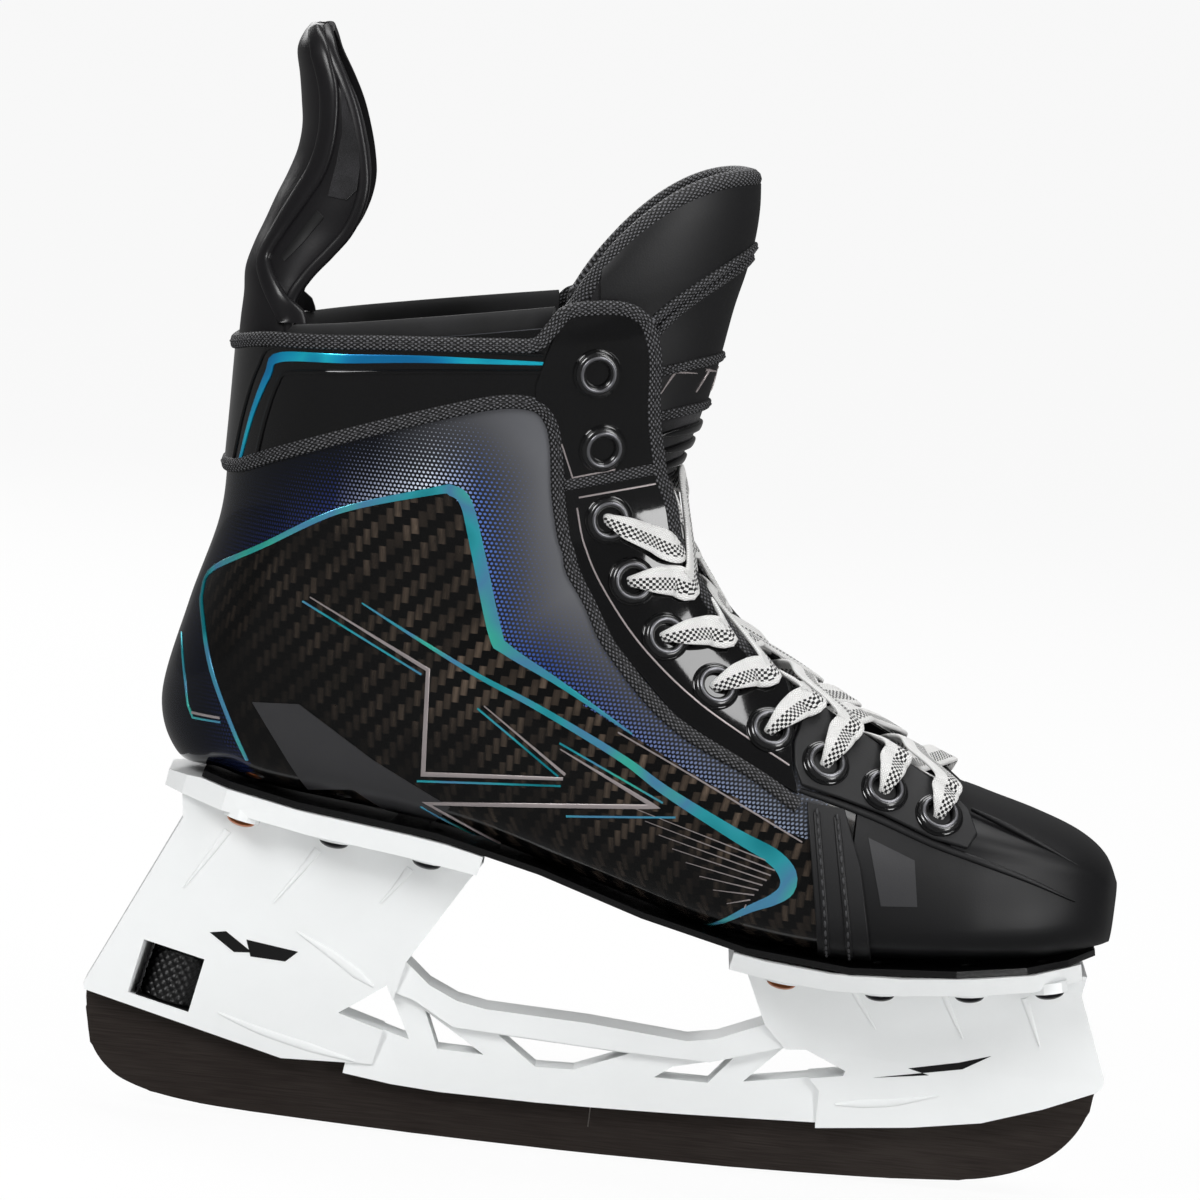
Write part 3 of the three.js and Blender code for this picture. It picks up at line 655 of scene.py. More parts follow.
@dataclass(frozen=True)
class CarbonShell(Finish):
    """Clear-coated 2x2 carbon twill with a painted brown glint on its warp tows, and a dotted,
    fading colour panel over its upper part.

    The mesh says where the printed panel lies (mark "panel"), how far from its edge line (mark
    "fade"), and which side is the plain inside (mark "lined").
    """

    tow: float = 2.2
    dot: float = 1.15
    # Tints of the dots, from the heel to the instep.
    inks: tuple[tuple[float, str], ...] = ((0.0, "#0c1020"), (0.2, "#1c2c66"), (0.36, "#d5deee"),
                                           (0.45, "#5577c4"), (0.6, "#2c4b98"), (1.0, "#7d879c"))

    def pattern(self, tree: bpy.types.NodeTree) -> Drawn:
        """Draw the twill and the printed panel; see Finish.pattern."""
        place = node(tree, "ShaderNodeTexCoord").outputs["Object"]
        parts = node(tree, "ShaderNodeSeparateXYZ", {0: place})
        side = calc(tree, "ABSOLUTE", parts.outputs[1])
        round_heel = calc(tree, "ADD", parts.outputs[0], side)

        def cells(size: float) -> list[bpy.types.NodeSocket]:
            """Count cells of a size along the boot and up it."""
            return [calc(tree, "MULTIPLY", way, per_mm(size))
                    for way in (round_heel, parts.outputs[2])]

        # Twill: a warp tow floats over two wefts, and each column starts one weft higher. The warp
        # tows carry a painted glint in the brown colour, brightest on each tow's crown.
        u, v = cells(self.tow)
        column = calc(tree, "FLOOR", u)
        lifted = calc(tree, "SUBTRACT", v, column)
        cycle = calc(tree, "FLOORED_MODULO", lifted, 4.0)
        warp = calc(tree, "LESS_THAN", cycle, 2.0)
        within = calc(tree, "FRACT", u)
        crown = calc(tree, "MULTIPLY", within, math.pi)
        arch = calc(tree, "SINE", crown)
        float_no = calc(tree, "MULTIPLY", lifted, 0.25)
        float_id = calc(tree, "FLOOR", float_no)
        tow_id = node(tree, "ShaderNodeCombineXYZ", {0: column, 1: float_id})
        random = node(tree, "ShaderNodeTexWhiteNoise", {"Vector": tow_id.outputs[0]})
        streak_at = node(tree, "ShaderNodeMapping", {"Vector": place, "Scale": (1.0, 1.0, 0.06)})
        streak = noise(tree, streak_at.outputs[0], per_mm(0.35))
        # Painted glint strength: broad clouds of sheen, stronger towards the front and the top of
        # the shell, weaker towards the heel and the bottom.
        sheen_cloud = noise(tree, place, per_mm(24), 1.0)
        cloud = remap(tree, sheen_cloud, 0.38, 0.6, 0.35, 1.0)
        ahead = remap(tree, parts.outputs[0], -0.098, -0.05, 0.2, 1.0)
        slope = calc(tree, "MULTIPLY_ADD", parts.outputs[0], 0.35, parts.outputs[2])
        above = remap(tree, slope, 0.092, 0.124, 0.3, 1.0)
        glow = calc(tree, "MULTIPLY", ahead, above)
        glow = calc(tree, "MULTIPLY", glow, cloud)
        # The local shade is the painted glint's brightness: each tow's crown, varied per tow and by
        # fibre streaks.
        shade = calc(tree, "MULTIPLY", random.outputs["Value"], arch)
        shade = calc(tree, "MULTIPLY", shade, streak)
        shade = calc(tree, "MULTIPLY_ADD", shade, 1.3, 0.13)
        shade = calc(tree, "MULTIPLY", shade, glow)
        painted_tow_glint = calc(tree, "MULTIPLY", shade, warp, clamp=True)
        twill = mix_colors(tree, painted_tow_glint, linear(self.shade), linear(self.color))

        # Printed panel: staggered dots that shrink away from the edge line.
        u, v = cells(self.dot)
        row = calc(tree, "FLOOR", v)
        stagger = calc(tree, "MULTIPLY_ADD", row, 0.5, u)
        offsets = []
        for way in (stagger, v):
            part = calc(tree, "FRACT", way)
            middle = calc(tree, "SUBTRACT", part, 0.5)
            offsets.append(calc(tree, "POWER", middle, 2.0))
        span = calc(tree, "ADD", offsets[0], offsets[1])
        radius = calc(tree, "SQRT", span)
        fade = node(tree, "ShaderNodeAttribute", attribute_name="fade").outputs["Fac"]
        reach = remap(tree, fade, 0.0, 1.0, 0.36, 0.08)
        dots = calc(tree, "LESS_THAN", radius, reach)
        ahead = remap(tree, parts.outputs[0], -0.12, 0.04)
        ink = color_ramp(tree, ahead, self.inks)
        forward = remap(tree, parts.outputs[0], -0.078, -0.03)
        grey = calc(tree, "MULTIPLY", fade, forward, clamp=True)
        ground = mix_colors(tree, grey, linear("#070a12"), linear("#626367"))
        near_line = remap(tree, fade, 0.0, 0.9, 1.0, 0.0)
        dot_mix = calc(tree, "MULTIPLY", dots, near_line, clamp=True)
        panel_ink = mix_colors(tree, dot_mix, ground, ink)
        panel = node(tree, "ShaderNodeAttribute", attribute_name="panel").outputs["Fac"]
        over = calc(tree, "GREATER_THAN", panel, 0.5)
        mix = mix_colors(tree, over, twill, panel_ink)
        lined = node(tree, "ShaderNodeAttribute", attribute_name="lined").outputs["Fac"]
        mix = mix_colors(tree, lined, mix, linear("#0b0b0c"))
        return mix, None


@dataclass(frozen=True)
class GroundSteel(Finish):
    """Coated tool steel: fine lengthwise polishing marks under a dark satin film."""

    def pattern(self, tree: bpy.types.NodeTree) -> Drawn:
        """Draw the polishing marks; see Finish.pattern."""
        place = node(tree, "ShaderNodeTexCoord").outputs["Object"]
        long = node(tree, "ShaderNodeMapping", {"Vector": place, "Scale": (0.03, 1.0, 1.0)})
        marks = noise(tree, long.outputs[0], per_mm(0.4), 3.0)
        cloud = noise(tree, place, per_mm(60), 2.0)
        both = calc(tree, "MULTIPLY", marks, cloud)
        wide = remap(tree, both, 0.15, 0.4)
        mix = mix_colors(tree, wide, linear(self.color), linear(self.shade))
        return mix, marks


class Stuff:
    """Every finish of the skate."""

    # Carbon composite pressed with epoxy and clear-coated: deep black, with a painted brown glint
    # on the tows.
    CARBON = CarbonShell("carbon_twill_clear_coated", "#6b5c4f", "#050505", 0.2, ior=1.36, coat=0.5)
    # TPU film with a glossy skin over the cuff and facings: a mirror-like black.
    GLOSS = Finish("tpu_gloss_black", "#060607", "#0a0a0b", 0.07, ior=1.5, coat=0.6, grain=1.2,
                   depth=0.006)
    # Synthetic leather with a fine grain: soft wide highlights.
    MATT = Finish("synthetic_leather_matt_black", "#121213", "#19191b", 0.5, ior=1.45, grain=0.5,
                  depth=0.03)
    # Moulded rubbery toe plastic: matt, slightly mottled.
    TOE = Finish("tpu_toe_moulded_black", "#101011", "#161618", 0.42, ior=1.38, grain=0.4,
                 depth=0.02)
    # Flexible moulded plastic: satin charcoal.
    GUARD = Finish("tpu_guard_moulded_charcoal", "#121113", "#1b1a1c", 0.32, ior=1.45, grain=0.7,
                   depth=0.015)
    # Woven black nylon binding tape: the grey colour is a painted highlight on the yarn crowns, the
    # black one painted shade in the grooves.
    TAPE = WovenTape("nylon_binding_woven_black", "#68686c", "#050505", 0.6, depth=0.35)
    # Polyester thread, waxed: small bright beads along each seam.
    THREAD = Finish("polyester_thread_black", "#2c2c2e", "#3c3c3e", 0.55, grain=0.3)
    # Needled wool-like felt.
    FELT = FeltCloth("felt_needled_black", "#2b2a2d", "#09090a", 0.95, sheen=0.2, grain=0.35,
                     depth=0.1)
    # Brushed microfibre lining.
    LINING = FeltCloth("microfibre_lining_brushed", "#19191b", "#09090a", 0.85, sheen=0.2,
                       grain=0.3, depth=0.05)
    # Colour-shifting foil ink.
    TEAL = ShiftInk("foil_ink_teal_shift", "#2aa9b8", "#5aa8c4", 0.22, metallic=0.55, coat=0.4)
    BLUE = ShiftInk("foil_ink_cuff_blue", "#0a8fc8", "#18c3dc", 0.25, metallic=0.5, coat=0.5,
                    tints=("#0878b4", "#0a8fc8", "#12aedb", "#1cc6e0", "#0a86bd"))
    # Silver foil ink, slightly pink; also laid as the painted highlight line along the facing's
    # edges.
    SILVER = Finish("foil_ink_silver", "#c6bcbc", "#a59c9c", 0.3, metallic=0.6)
    GREY_INK = Finish("ink_satin_grey", "#2b2b2d", "#343436", 0.4, grain=0.5)
    # Injection-moulded glass-filled nylon: white satin.
    NYLON = Finish("nylon_moulded_white", "#f1f3f3", "#ebeded", 0.32, ior=1.5, grain=0.9,
                   depth=0.008)
    # Black moulded nylon: the wheel and the holder's marks; also the window liner and the guard's
    # slit strips, which paint shade.
    NYLON_BLACK = Finish("nylon_moulded_black", "#0c0c0d", "#141415", 0.42, grain=0.6)
    # Coated stainless runner steel.
    STEEL = GroundSteel("runner_steel_dark_coated", "#3b3431", "#4c4541", 0.42, metallic=0.75,
                        depth=0.004)
    EDGE_STEEL = GroundSteel("runner_steel_ground_bright", "#8d8782", "#a7a19b", 0.3, metallic=1.0,
                             depth=0.004)
    # Black-enamelled brass eyelets.
    ENAMEL = Finish("enamel_black_on_brass", "#0d0d0e", "#1b1b1c", 0.22, metallic=0.0, ior=1.55,
                    coat=0.5)
    # Pale metal ring on each eyelet's crown: a painted highlight on the black enamel.
    RIM = Finish("eyelet_rim_worn", "#8c8c90", "#727276", 0.3, metallic=0.8)
    COPPER = Finish("copper_rivet_bare", "#c0764a", "#a8623b", 0.28, metallic=1.0)
    RIVET = Finish("steel_rivet_blackened", "#232325", "#2e2e31", 0.35, metallic=0.8)
    STUD = Finish("steel_stud_bright", "#8a8a8c", "#767678", 0.3, metallic=1.0)
    FOOTBED = FeltCloth("eva_footbed_grey", "#3a3b3d", "#242526", 0.9, grain=0.5, depth=0.1)
    SOLE = Finish("composite_outsole_gloss", "#0b0b0c", "#121213", 0.2, ior=1.5, coat=0.4)
    LACE = LaceCloth("polyester_lace_braided", "#ffffff", "#0c0c0d", 0.8, sheen=0.2, depth=0.2)


# ---- geometry nodes -----------------------------------------------------------------------------

class Repeat:
    """Pieces that repeat along a line or on points, each made by a node tree of its own."""

    @staticmethod
    def tree(name: str, sizes: dict[str, str]) -> tuple[
            bpy.types.NodeTree, bpy.types.Node, bpy.types.Node]:
        """Start a node tree.

        Args:
            name: The tree's name.
            sizes: Socket type of each named input.

        Returns:
            The tree, its input node and its output node.
        """
        made = bpy.data.node_groups.new(name, "GeometryNodeTree")
        made.interface.new_socket("Geometry", in_out="INPUT", socket_type="NodeSocketGeometry")
        for key, kind in sizes.items():
            made.interface.new_socket(key, in_out="INPUT", socket_type=kind)
        made.interface.new_socket("Geometry", in_out="OUTPUT", socket_type="NodeSocketGeometry")
        return made, node(made, "NodeGroupInput"), node(made, "NodeGroupOutput")

    @staticmethod
    def stitches() -> bpy.types.NodeTree:
        """Build the tree that sews a row of stitches along an edge line."""
        tree, given, result = Repeat.tree(
            "Stitch row",
            {"Spacing": "NodeSocketFloat", "Length": "NodeSocketFloat", "Thread": "NodeSocketFloat",
             "Material": "NodeSocketMaterial"})
        line = node(tree, "GeometryNodeMeshToCurve", {"Mesh": given.outputs["Geometry"]})
        even = node(tree, "GeometryNodeResampleCurve",
                    {"Curve": line.outputs["Curve"], "Length": given.outputs["Spacing"]},
                    mode="LENGTH")
        bead = node(tree, "GeometryNodeMeshUVSphere", {"Segments": 8, "Rings": 6, "Radius": 1.0})
        way = node(tree, "GeometryNodeInputTangent")
        turn = node(tree, "FunctionNodeAlignRotationToVector", {"Vector": way.outputs[0]}, axis="Z")
        size = node(
            tree, "ShaderNodeCombineXYZ",
            {0: given.outputs["Thread"], 1: given.outputs["Thread"], 2: given.outputs["Length"]})
        sewn = node(tree, "GeometryNodeInstanceOnPoints", {
            "Points": even.outputs["Curve"], "Instance": bead.outputs["Mesh"],
            "Rotation": turn.outputs["Rotation"], "Scale": size.outputs[0]})
        real = node(tree, "GeometryNodeRealizeInstances", {"Geometry": sewn.outputs["Instances"]})
        smooth = node(tree, "GeometryNodeSetShadeSmooth", {"Geometry": real.outputs["Geometry"]})
        node_end = node(tree, "GeometryNodeSetMaterial", {"Geometry": smooth.outputs["Geometry"],
                                                          "Material": given.outputs["Material"]})
        tree.links.new(node_end.outputs["Geometry"], result.inputs["Geometry"])
        return tree

    @staticmethod
    def rings_on_points() -> bpy.types.NodeTree:
        """Build the tree that sets a rounded ring with a barrel on each point, facing its mark."""
        tree, given, result = Repeat.tree(
            "Eyelet ring",
            {"Ring": "NodeSocketFloat", "Roll": "NodeSocketFloat", "Barrel": "NodeSocketFloat",
             "Depth": "NodeSocketFloat", "Material": "NodeSocketMaterial"})
        path = node(tree, "GeometryNodeCurvePrimitiveCircle",
                    {"Resolution": 40, "Radius": given.outputs["Ring"]})
        roll = node(tree, "GeometryNodeCurvePrimitiveCircle",
                    {"Resolution": 12, "Radius": given.outputs["Roll"]})
        ring = node(tree, "GeometryNodeCurveToMesh", {"Curve": path.outputs["Curve"],
                                                      "Profile Curve": roll.outputs["Curve"]})
        flat = node(tree, "GeometryNodeTransform",
                    {"Geometry": ring.outputs["Mesh"], "Scale": (1.0, 1.0, 0.8)})
        half = node(tree, "ShaderNodeMath", {0: given.outputs["Depth"], 1: -0.5},
                    operation="MULTIPLY")
        low = node(tree, "ShaderNodeCombineXYZ", {2: half.outputs[0]})
        sides = node(tree, "GeometryNodeMeshCylinder", {
            "Vertices": 40, "Radius": given.outputs["Barrel"], "Depth": given.outputs["Depth"]},
            fill_type="NONE")
        turned_in = node(tree, "GeometryNodeFlipFaces", {"Mesh": sides.outputs["Mesh"]})
        sunk = node(tree, "GeometryNodeTransform", {"Geometry": turned_in.outputs["Mesh"],
                                                    "Translation": low.outputs[0]})
        eyelet = node(tree, "GeometryNodeJoinGeometry", {"Geometry": flat.outputs["Geometry"]})
        tree.links.new(sunk.outputs["Geometry"], eyelet.inputs["Geometry"])
        Repeat.set_on_points(tree, given, result, eyelet.outputs["Geometry"])
        return tree

    @staticmethod
    def domes_on_points() -> bpy.types.NodeTree:
        """Build the tree that sets a low domed head on each point, facing its mark."""
        tree, given, result = Repeat.tree(
            "Rivet head",
            {"Head": "NodeSocketFloat", "Rise": "NodeSocketFloat",
             "Material": "NodeSocketMaterial"})
        ball = node(tree, "GeometryNodeMeshUVSphere", {"Segments": 28, "Rings": 14, "Radius": 1.0})
        size = node(tree, "ShaderNodeCombineXYZ",
                    {0: given.outputs["Head"], 1: given.outputs["Head"], 2: given.outputs["Rise"]})
        dome = node(tree, "GeometryNodeTransform",
                    {"Geometry": ball.outputs["Mesh"], "Scale": size.outputs[0]})
        Repeat.set_on_points(tree, given, result, dome.outputs["Geometry"])
        return tree

    @staticmethod
    def set_on_points(tree: bpy.types.NodeTree, given: bpy.types.Node, result: bpy.types.Node,
                      part: bpy.types.NodeSocket) -> None:
        """Finish a tree by setting a part on every point, along the point's mark "facing"."""
        facing = node(tree, "GeometryNodeInputNamedAttribute", {"Name": "facing"},
                      data_type="FLOAT_VECTOR")
        turn = node(tree, "FunctionNodeAlignRotationToVector",
                    {"Vector": facing.outputs["Attribute"]}, axis="Z")
        placed = node(
            tree, "GeometryNodeInstanceOnPoints",
            {"Points": given.outputs["Geometry"], "Instance": part,
             "Rotation": turn.outputs["Rotation"]})
        real = node(tree, "GeometryNodeRealizeInstances", {"Geometry": placed.outputs["Instances"]})
        smooth = node(tree, "GeometryNodeSetShadeSmooth", {"Geometry": real.outputs["Geometry"]})
        last = node(tree, "GeometryNodeSetMaterial", {"Geometry": smooth.outputs["Geometry"],
                                                      "Material": given.outputs["Material"]})
        tree.links.new(last.outputs["Geometry"], result.inputs["Geometry"])

    @staticmethod
    def grow(name: str, tree: bpy.types.NodeTree, points: list[Vector],
             lines: list[tuple[int, int]], facing: list[Vector] | None,
             values: dict[str, object]) -> bpy.types.Object:
        """Run a tree on points or lines and keep the plain mesh it makes.

        Args:
            name: The piece's name.
            tree: The node tree.
            points: Points in millimetres.
            lines: Edges between them, for a line.
            facing: Outward direction at each point.
            values: Named inputs; lengths are in metres.

        Returns:
            The finished piece.
        """
        seed = bpy.data.meshes.new(name)
        seed.from_pydata([p * MM for p in points], lines, [])
        if facing is not None:
            flat = [c for normal in facing for c in normal]
            seed.attributes.new("facing", "FLOAT_VECTOR", "POINT").data.foreach_set("vector", flat)
        made = bpy.data.objects.new(name, seed)
        bpy.context.scene.collection.objects.link(made)
        maker = made.modifiers.new("Maker", "NODES")
        maker.node_group = tree
        for item in tree.interface.items_tree:
            if item.in_out == "INPUT" and item.name in values:
                maker[item.identifier] = values[item.name]
        graph = bpy.context.evaluated_depsgraph_get()
        mesh = bpy.data.meshes.new_from_object(made.evaluated_get(graph))
        made.modifiers.clear()
        made.data = mesh
        return made


def sew(name: str, frames: Sequence[Frame], body: str, spacing: float = 2.4, length: float = 0.75,
        thread: float = 0.28, finish: Finish = Stuff.THREAD) -> bpy.types.Object:
    """Sew a row of stitches along frames on a surface, sizes in millimetres."""
    points = [at for at, _ in frames]
    lines = [(i, i + 1) for i in range(len(points) - 1)]
    tree = bpy.data.node_groups.get("Stitch row") or Repeat.stitches()
    made = Repeat.grow(
        name, tree, points, lines, None,
        {"Spacing": spacing * MM, "Length": length * MM, "Thread": thread * MM,
         "Material": finish.material()})
    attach(made, body)
    LOG.info("sewed %s", name)
    return made


def settle(made: bpy.types.Object, body: str, slot: str, *nodes: str) -> bpy.types.Object:
    """Give a piece its body, hide the frame nodes that it stands for, and report it."""
    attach(made, body)
    if nodes:
        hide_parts(*nodes)
    LOG.info("made %s: %d faces", made.name, len(made.data.polygons))
    return made


def put(name: str, shape: Shape, finish: Finish, body: str, slot: str, *nodes: str,
        crease: float = 40.0, soft: float = 0.0) -> bpy.types.Object:
    """Make a piece from a shape and settle it.

    Args:
        name: The piece's name.
        shape: What it is made of.
        finish: What it wears.
        body: The moving body that carries it.
        slot: Not used.
        nodes: Frame nodes that it stands for.
        crease: Angle in degrees past which an edge stays sharp.
        soft: Width in millimetres of the rounding of its hard edges.

    Returns:
        The new object.
    """
    made = piece(name, shape, finish.material(), crease)
    if soft:
        soften(made, soft)
    return settle(made, body, slot, *nodes)


# ---- the last: the boot's one guiding surface ---------------------------------------------------

SOLE = ((-131.0, 101.2), (-99.0, 94.7), (-67.0, 91.0), (-35.0, 86.4), (-3.0, 77.0), (29.0, 69.2),
        (61.0, 65.3), (93.0, 66.5), (125.0, 69.9), (143.0, 73.6))

# From the toe to the collar, each section's foot (x, z), throat (x, z), half-width low, half way
# and at the throat, the size of its lower corner and how square that corner is.
SECTIONS = (
    (143.8, 76.0, 144.3, 94.0, 6, 8, 5, 6, 2.2),
    (141.0, 72.5, 140.6, 101.0, 21, 23, 17, 11, 2.8),
    (134.5, 71.6, 132.6, 106.6, 31, 32, 23, 14, 3.2),
    (124.0, 70.9, 120.0, 111.2, 39, 38, 27, 15, 3.4),
    (110.0, 69.9, 106.0, 115.0, 44, 42, 28, 15, 3.4),
    (97.0, 69.2, 93.5, 118.6, 46, 44, 26, 15, 3.4),
    (73.0, 68.0, 74.0, 127.6, 47, 45, 23, 15, 3.4),
    (50.0, 67.9, 51.0, 139.7, 46, 45, 22, 15, 3.4),
    (25.0, 72.4, 31.4, 150.9, 43, 43, 22, 15, 3.3),
    (-9.0, 81.0, 20.0, 162.0, 37, 41, 22, 17, 3.1),
    (-48.0, 91.5, 9.7, 177.0, 33, 39, 23, 18, 3.0),
    (-98.0, 97.2, 5.7, 190.0, 31, 38, 24, 21, 2.9),
    (-114.0, 99.0, 3.9, 194.5, 30, 38, 25, 24, 2.7),
    (-126.0, 102.3, 2.2, 199.0, 29, 38, 26, 27, 2.5),
    (-132.4, 119.0, 0.0, 210.0, 29, 38, 28, 33, 2.15),
    (-127.4, 146.5, -1.5, 220.0, 29, 40, 30, 33, 2.1),
    (-121.0, 172.0, -2.5, 229.0, 31, 42, 32, 33, 2.1),
    (-120.5, 193.0, -3.0, 236.0, 33, 43, 33, 33, 2.1),
    (-120.7, 221.5, -4.0, 243.0, 34, 43, 33, 33, 2.1),
)


class Last:
    """The surface that every part of the boot lies on."""

    lift = 2.8
    corner = 0.45
    throat_end = 5.0
    collar = float(len(SECTIONS) - 1)
    over_collar = (-0.3, 8.5, -0.6, 7.0, 0.0, 0.0, 0.0, 0.0, 0.0)

    def __init__(self) -> None:
        """Set the sections that stand on the sole at their height."""
        self.rows = [(row[0], self.sole(row[0]) + self.lift, *row[2:]) if i < 14 else row
                     for i, row in enumerate(SECTIONS)]

    def section(self, s: float) -> list[float]:
        """Return the section at s; past the collar it only rises."""
        if s <= self.collar:
            return through(self.rows, s)
        return [v + rise * (s - self.collar) for v, rise in zip(self.rows[-1], self.over_collar)]

    @staticmethod
    def sole(x: float) -> float:
        """Return the height of the holder's top under the boot."""
        ahead = next((i for i, row in enumerate(SOLE) if row[0] > x), len(SOLE) - 1)
        i = max(0, ahead - 1)
        return through(SOLE, i + (x - SOLE[i][0]) / (SOLE[i + 1][0] - SOLE[i][0]))[1]

    def point(self, s: float, a: float, inset: float = 0.0) -> Vector:
        """Find a point of the boot.

        Args:
            s: Place along the sections, 0 at the toe.
            a: Place round the section, -1 at the outer throat edge, 0 under the foot, 1 at the
                inner edge.
            inset: Depth inside the surface.

        Returns:
            The point.
        """
        bx, bz, tx, tz, low, mid, top, corner, square = self.section(s)
        length = math.hypot(tx - bx, tz - bz)
        dx, dz = (tx - bx) / length, (tz - bz) / length
        u = abs(a)
        share = min(0.45, corner / length)

        def width(f: float) -> float:
            """Return the half-width a share of the way up the section."""
            ends = 2 * low * (f - 0.5) * (f - 1) + 2 * top * f * (f - 0.5)
            return ends - 4 * mid * f * (f - 1) - inset

        if u < self.corner:
            angle = u / self.corner * math.pi / 2
            f = share * (1 - max(0.0, math.cos(angle)) ** (2 / square))
            y = width(f) * math.sin(angle) ** (2 / square)
        else:
            f = share + (1 - share) * (u - self.corner) / (1 - self.corner)
            y = width(f)
        run = inset + f * (length - inset)
        return Vector((bx + dx * run, math.copysign(y, a), bz + dz * run))

    def normal(self, s: float, a: float) -> Vector:
        """Return the outward direction at a place of the boot."""
        e = 0.01
        round_it = self.point(s, a + e) - self.point(s, a - e)
        along = self.point(s + e, a) - self.point(s - e, a)
        normal = round_it.cross(along).normalized()
        if abs(a) > 0.02:
            return -normal if normal.y * a < 0 else normal
        return -normal if normal.x * math.copysign(1, self.point(s, a).x) < 0 else normal

    def laid(self, s: float, a: float, rise: float) -> Frame:
        """Return a point at a rise over the boot, and its normal."""
        normal = self.normal(s, a)
        return self.point(s, a) + normal * rise, normal

    def place(self, x: float, z: float) -> Spot:
        """Find where a spot seen from the side lies, as s and the size of a."""
        low, high = 0.3, self.collar + 1.2
        for _ in range(34):
            s = (low + high) / 2
            bx, bz, tx, tz = self.section(s)[:4]
            if (tx - bx) * (z - bz) - (tz - bz) * (x - bx) > 0:
                low = s
            else:
                high = s
        bx, bz, tx, tz, *_, corner, square = self.section(low)
        length = math.hypot(tx - bx, tz - bz)
        f = ((tx - bx) * (x - bx) + (tz - bz) * (z - bz)) / length ** 2
        share = min(0.45, corner / length)
        if f >= share:
            return low, self.corner + (1 - self.corner) * (f - share) / (1 - share)
        cosine = max(0.0, 1 - f / share) ** (square / 2)
        return low, self.corner * math.acos(min(1.0, cosine)) / (math.pi / 2)

    def seen(self, side: Side) -> Surface:
        """Return one flank as a surface over its side view."""
        def flank(x: float, z: float, rise: float) -> Frame:
            """Return a point at a rise over the flank, and its normal."""
            s, a = self.place(x, z)
            return self.laid(s, side.value * max(a, 1e-4), rise)
        return flank

    def edge(self, s: float, y: float, height: float) -> Vector:
        """Return a point across the throat, at a height over its edge."""
        at = self.point(s, 1)
        ahead = self.point(s + 0.05, 1) - self.point(s - 0.05, 1)
        up = Vector((ahead.z, 0, -ahead.x)).normalized()
        return Vector((at.x, y, at.z)) + up * height


LAST = Last()
COLLAR_TAPE = ((40.3, 144.9), (31.4, 151.0), (20.2, 162.1), (9.6, 177.1), (5.6, 190.4),
               (1.4, 201.0), (-1.9, 216.9), (-2.9, 230.6), (-5.4, 239.5), (-9.0, 243.4),
               (-14.5, 244.8), (-22.5, 244.0), (-28.8, 242.2), (-32.6, 237.0), (-36.4, 232.6),
               (-46.1, 231.5), (-74.0, 229.2), (-101.8, 226.4), (-112.5, 225.0))
CUFF_TAPE = ((50.5, 111.0), (35.1, 119.9), (12.8, 131.0), (-6.4, 149.6), (-16.6, 165.7),
             (-22.4, 178.1), (-26.0, 193.0), (-27.6, 205.0), (-29.8, 211.6), (-34.7, 215.9),
             (-44.2, 215.8), (-59.2, 211.5), (-84.2, 202.6), (-104.0, 194.4), (-116.0, 188.3))
PANEL_LINE = ((-100.0, 96.0), (-105.3, 106.2), (-117.2, 129.3), (-122.1, 144.4), (-123.2, 151.0),
              (-120.8, 157.9), (-107.0, 167.4), (-86.3, 180.2), (-60.3, 188.7), (-55.3, 189.3),
              (-51.1, 186.1), (-46.7, 173.4), (-39.3, 150.6), (-35.4, 146.0), (-19.6, 138.1),
              (2.0, 126.3), (22.2, 116.2), (40.1, 107.8), (53.7, 101.5))
EYELETS = ((-18.7, 226.2), (-15.1, 205.2), (-11.2, 184.9), (-2.8, 168.0), (8.1, 153.4),
           (23.6, 140.7), (40.3, 130.1), (56.7, 122.4), (74.0, 116.4), (90.1, 111.0))


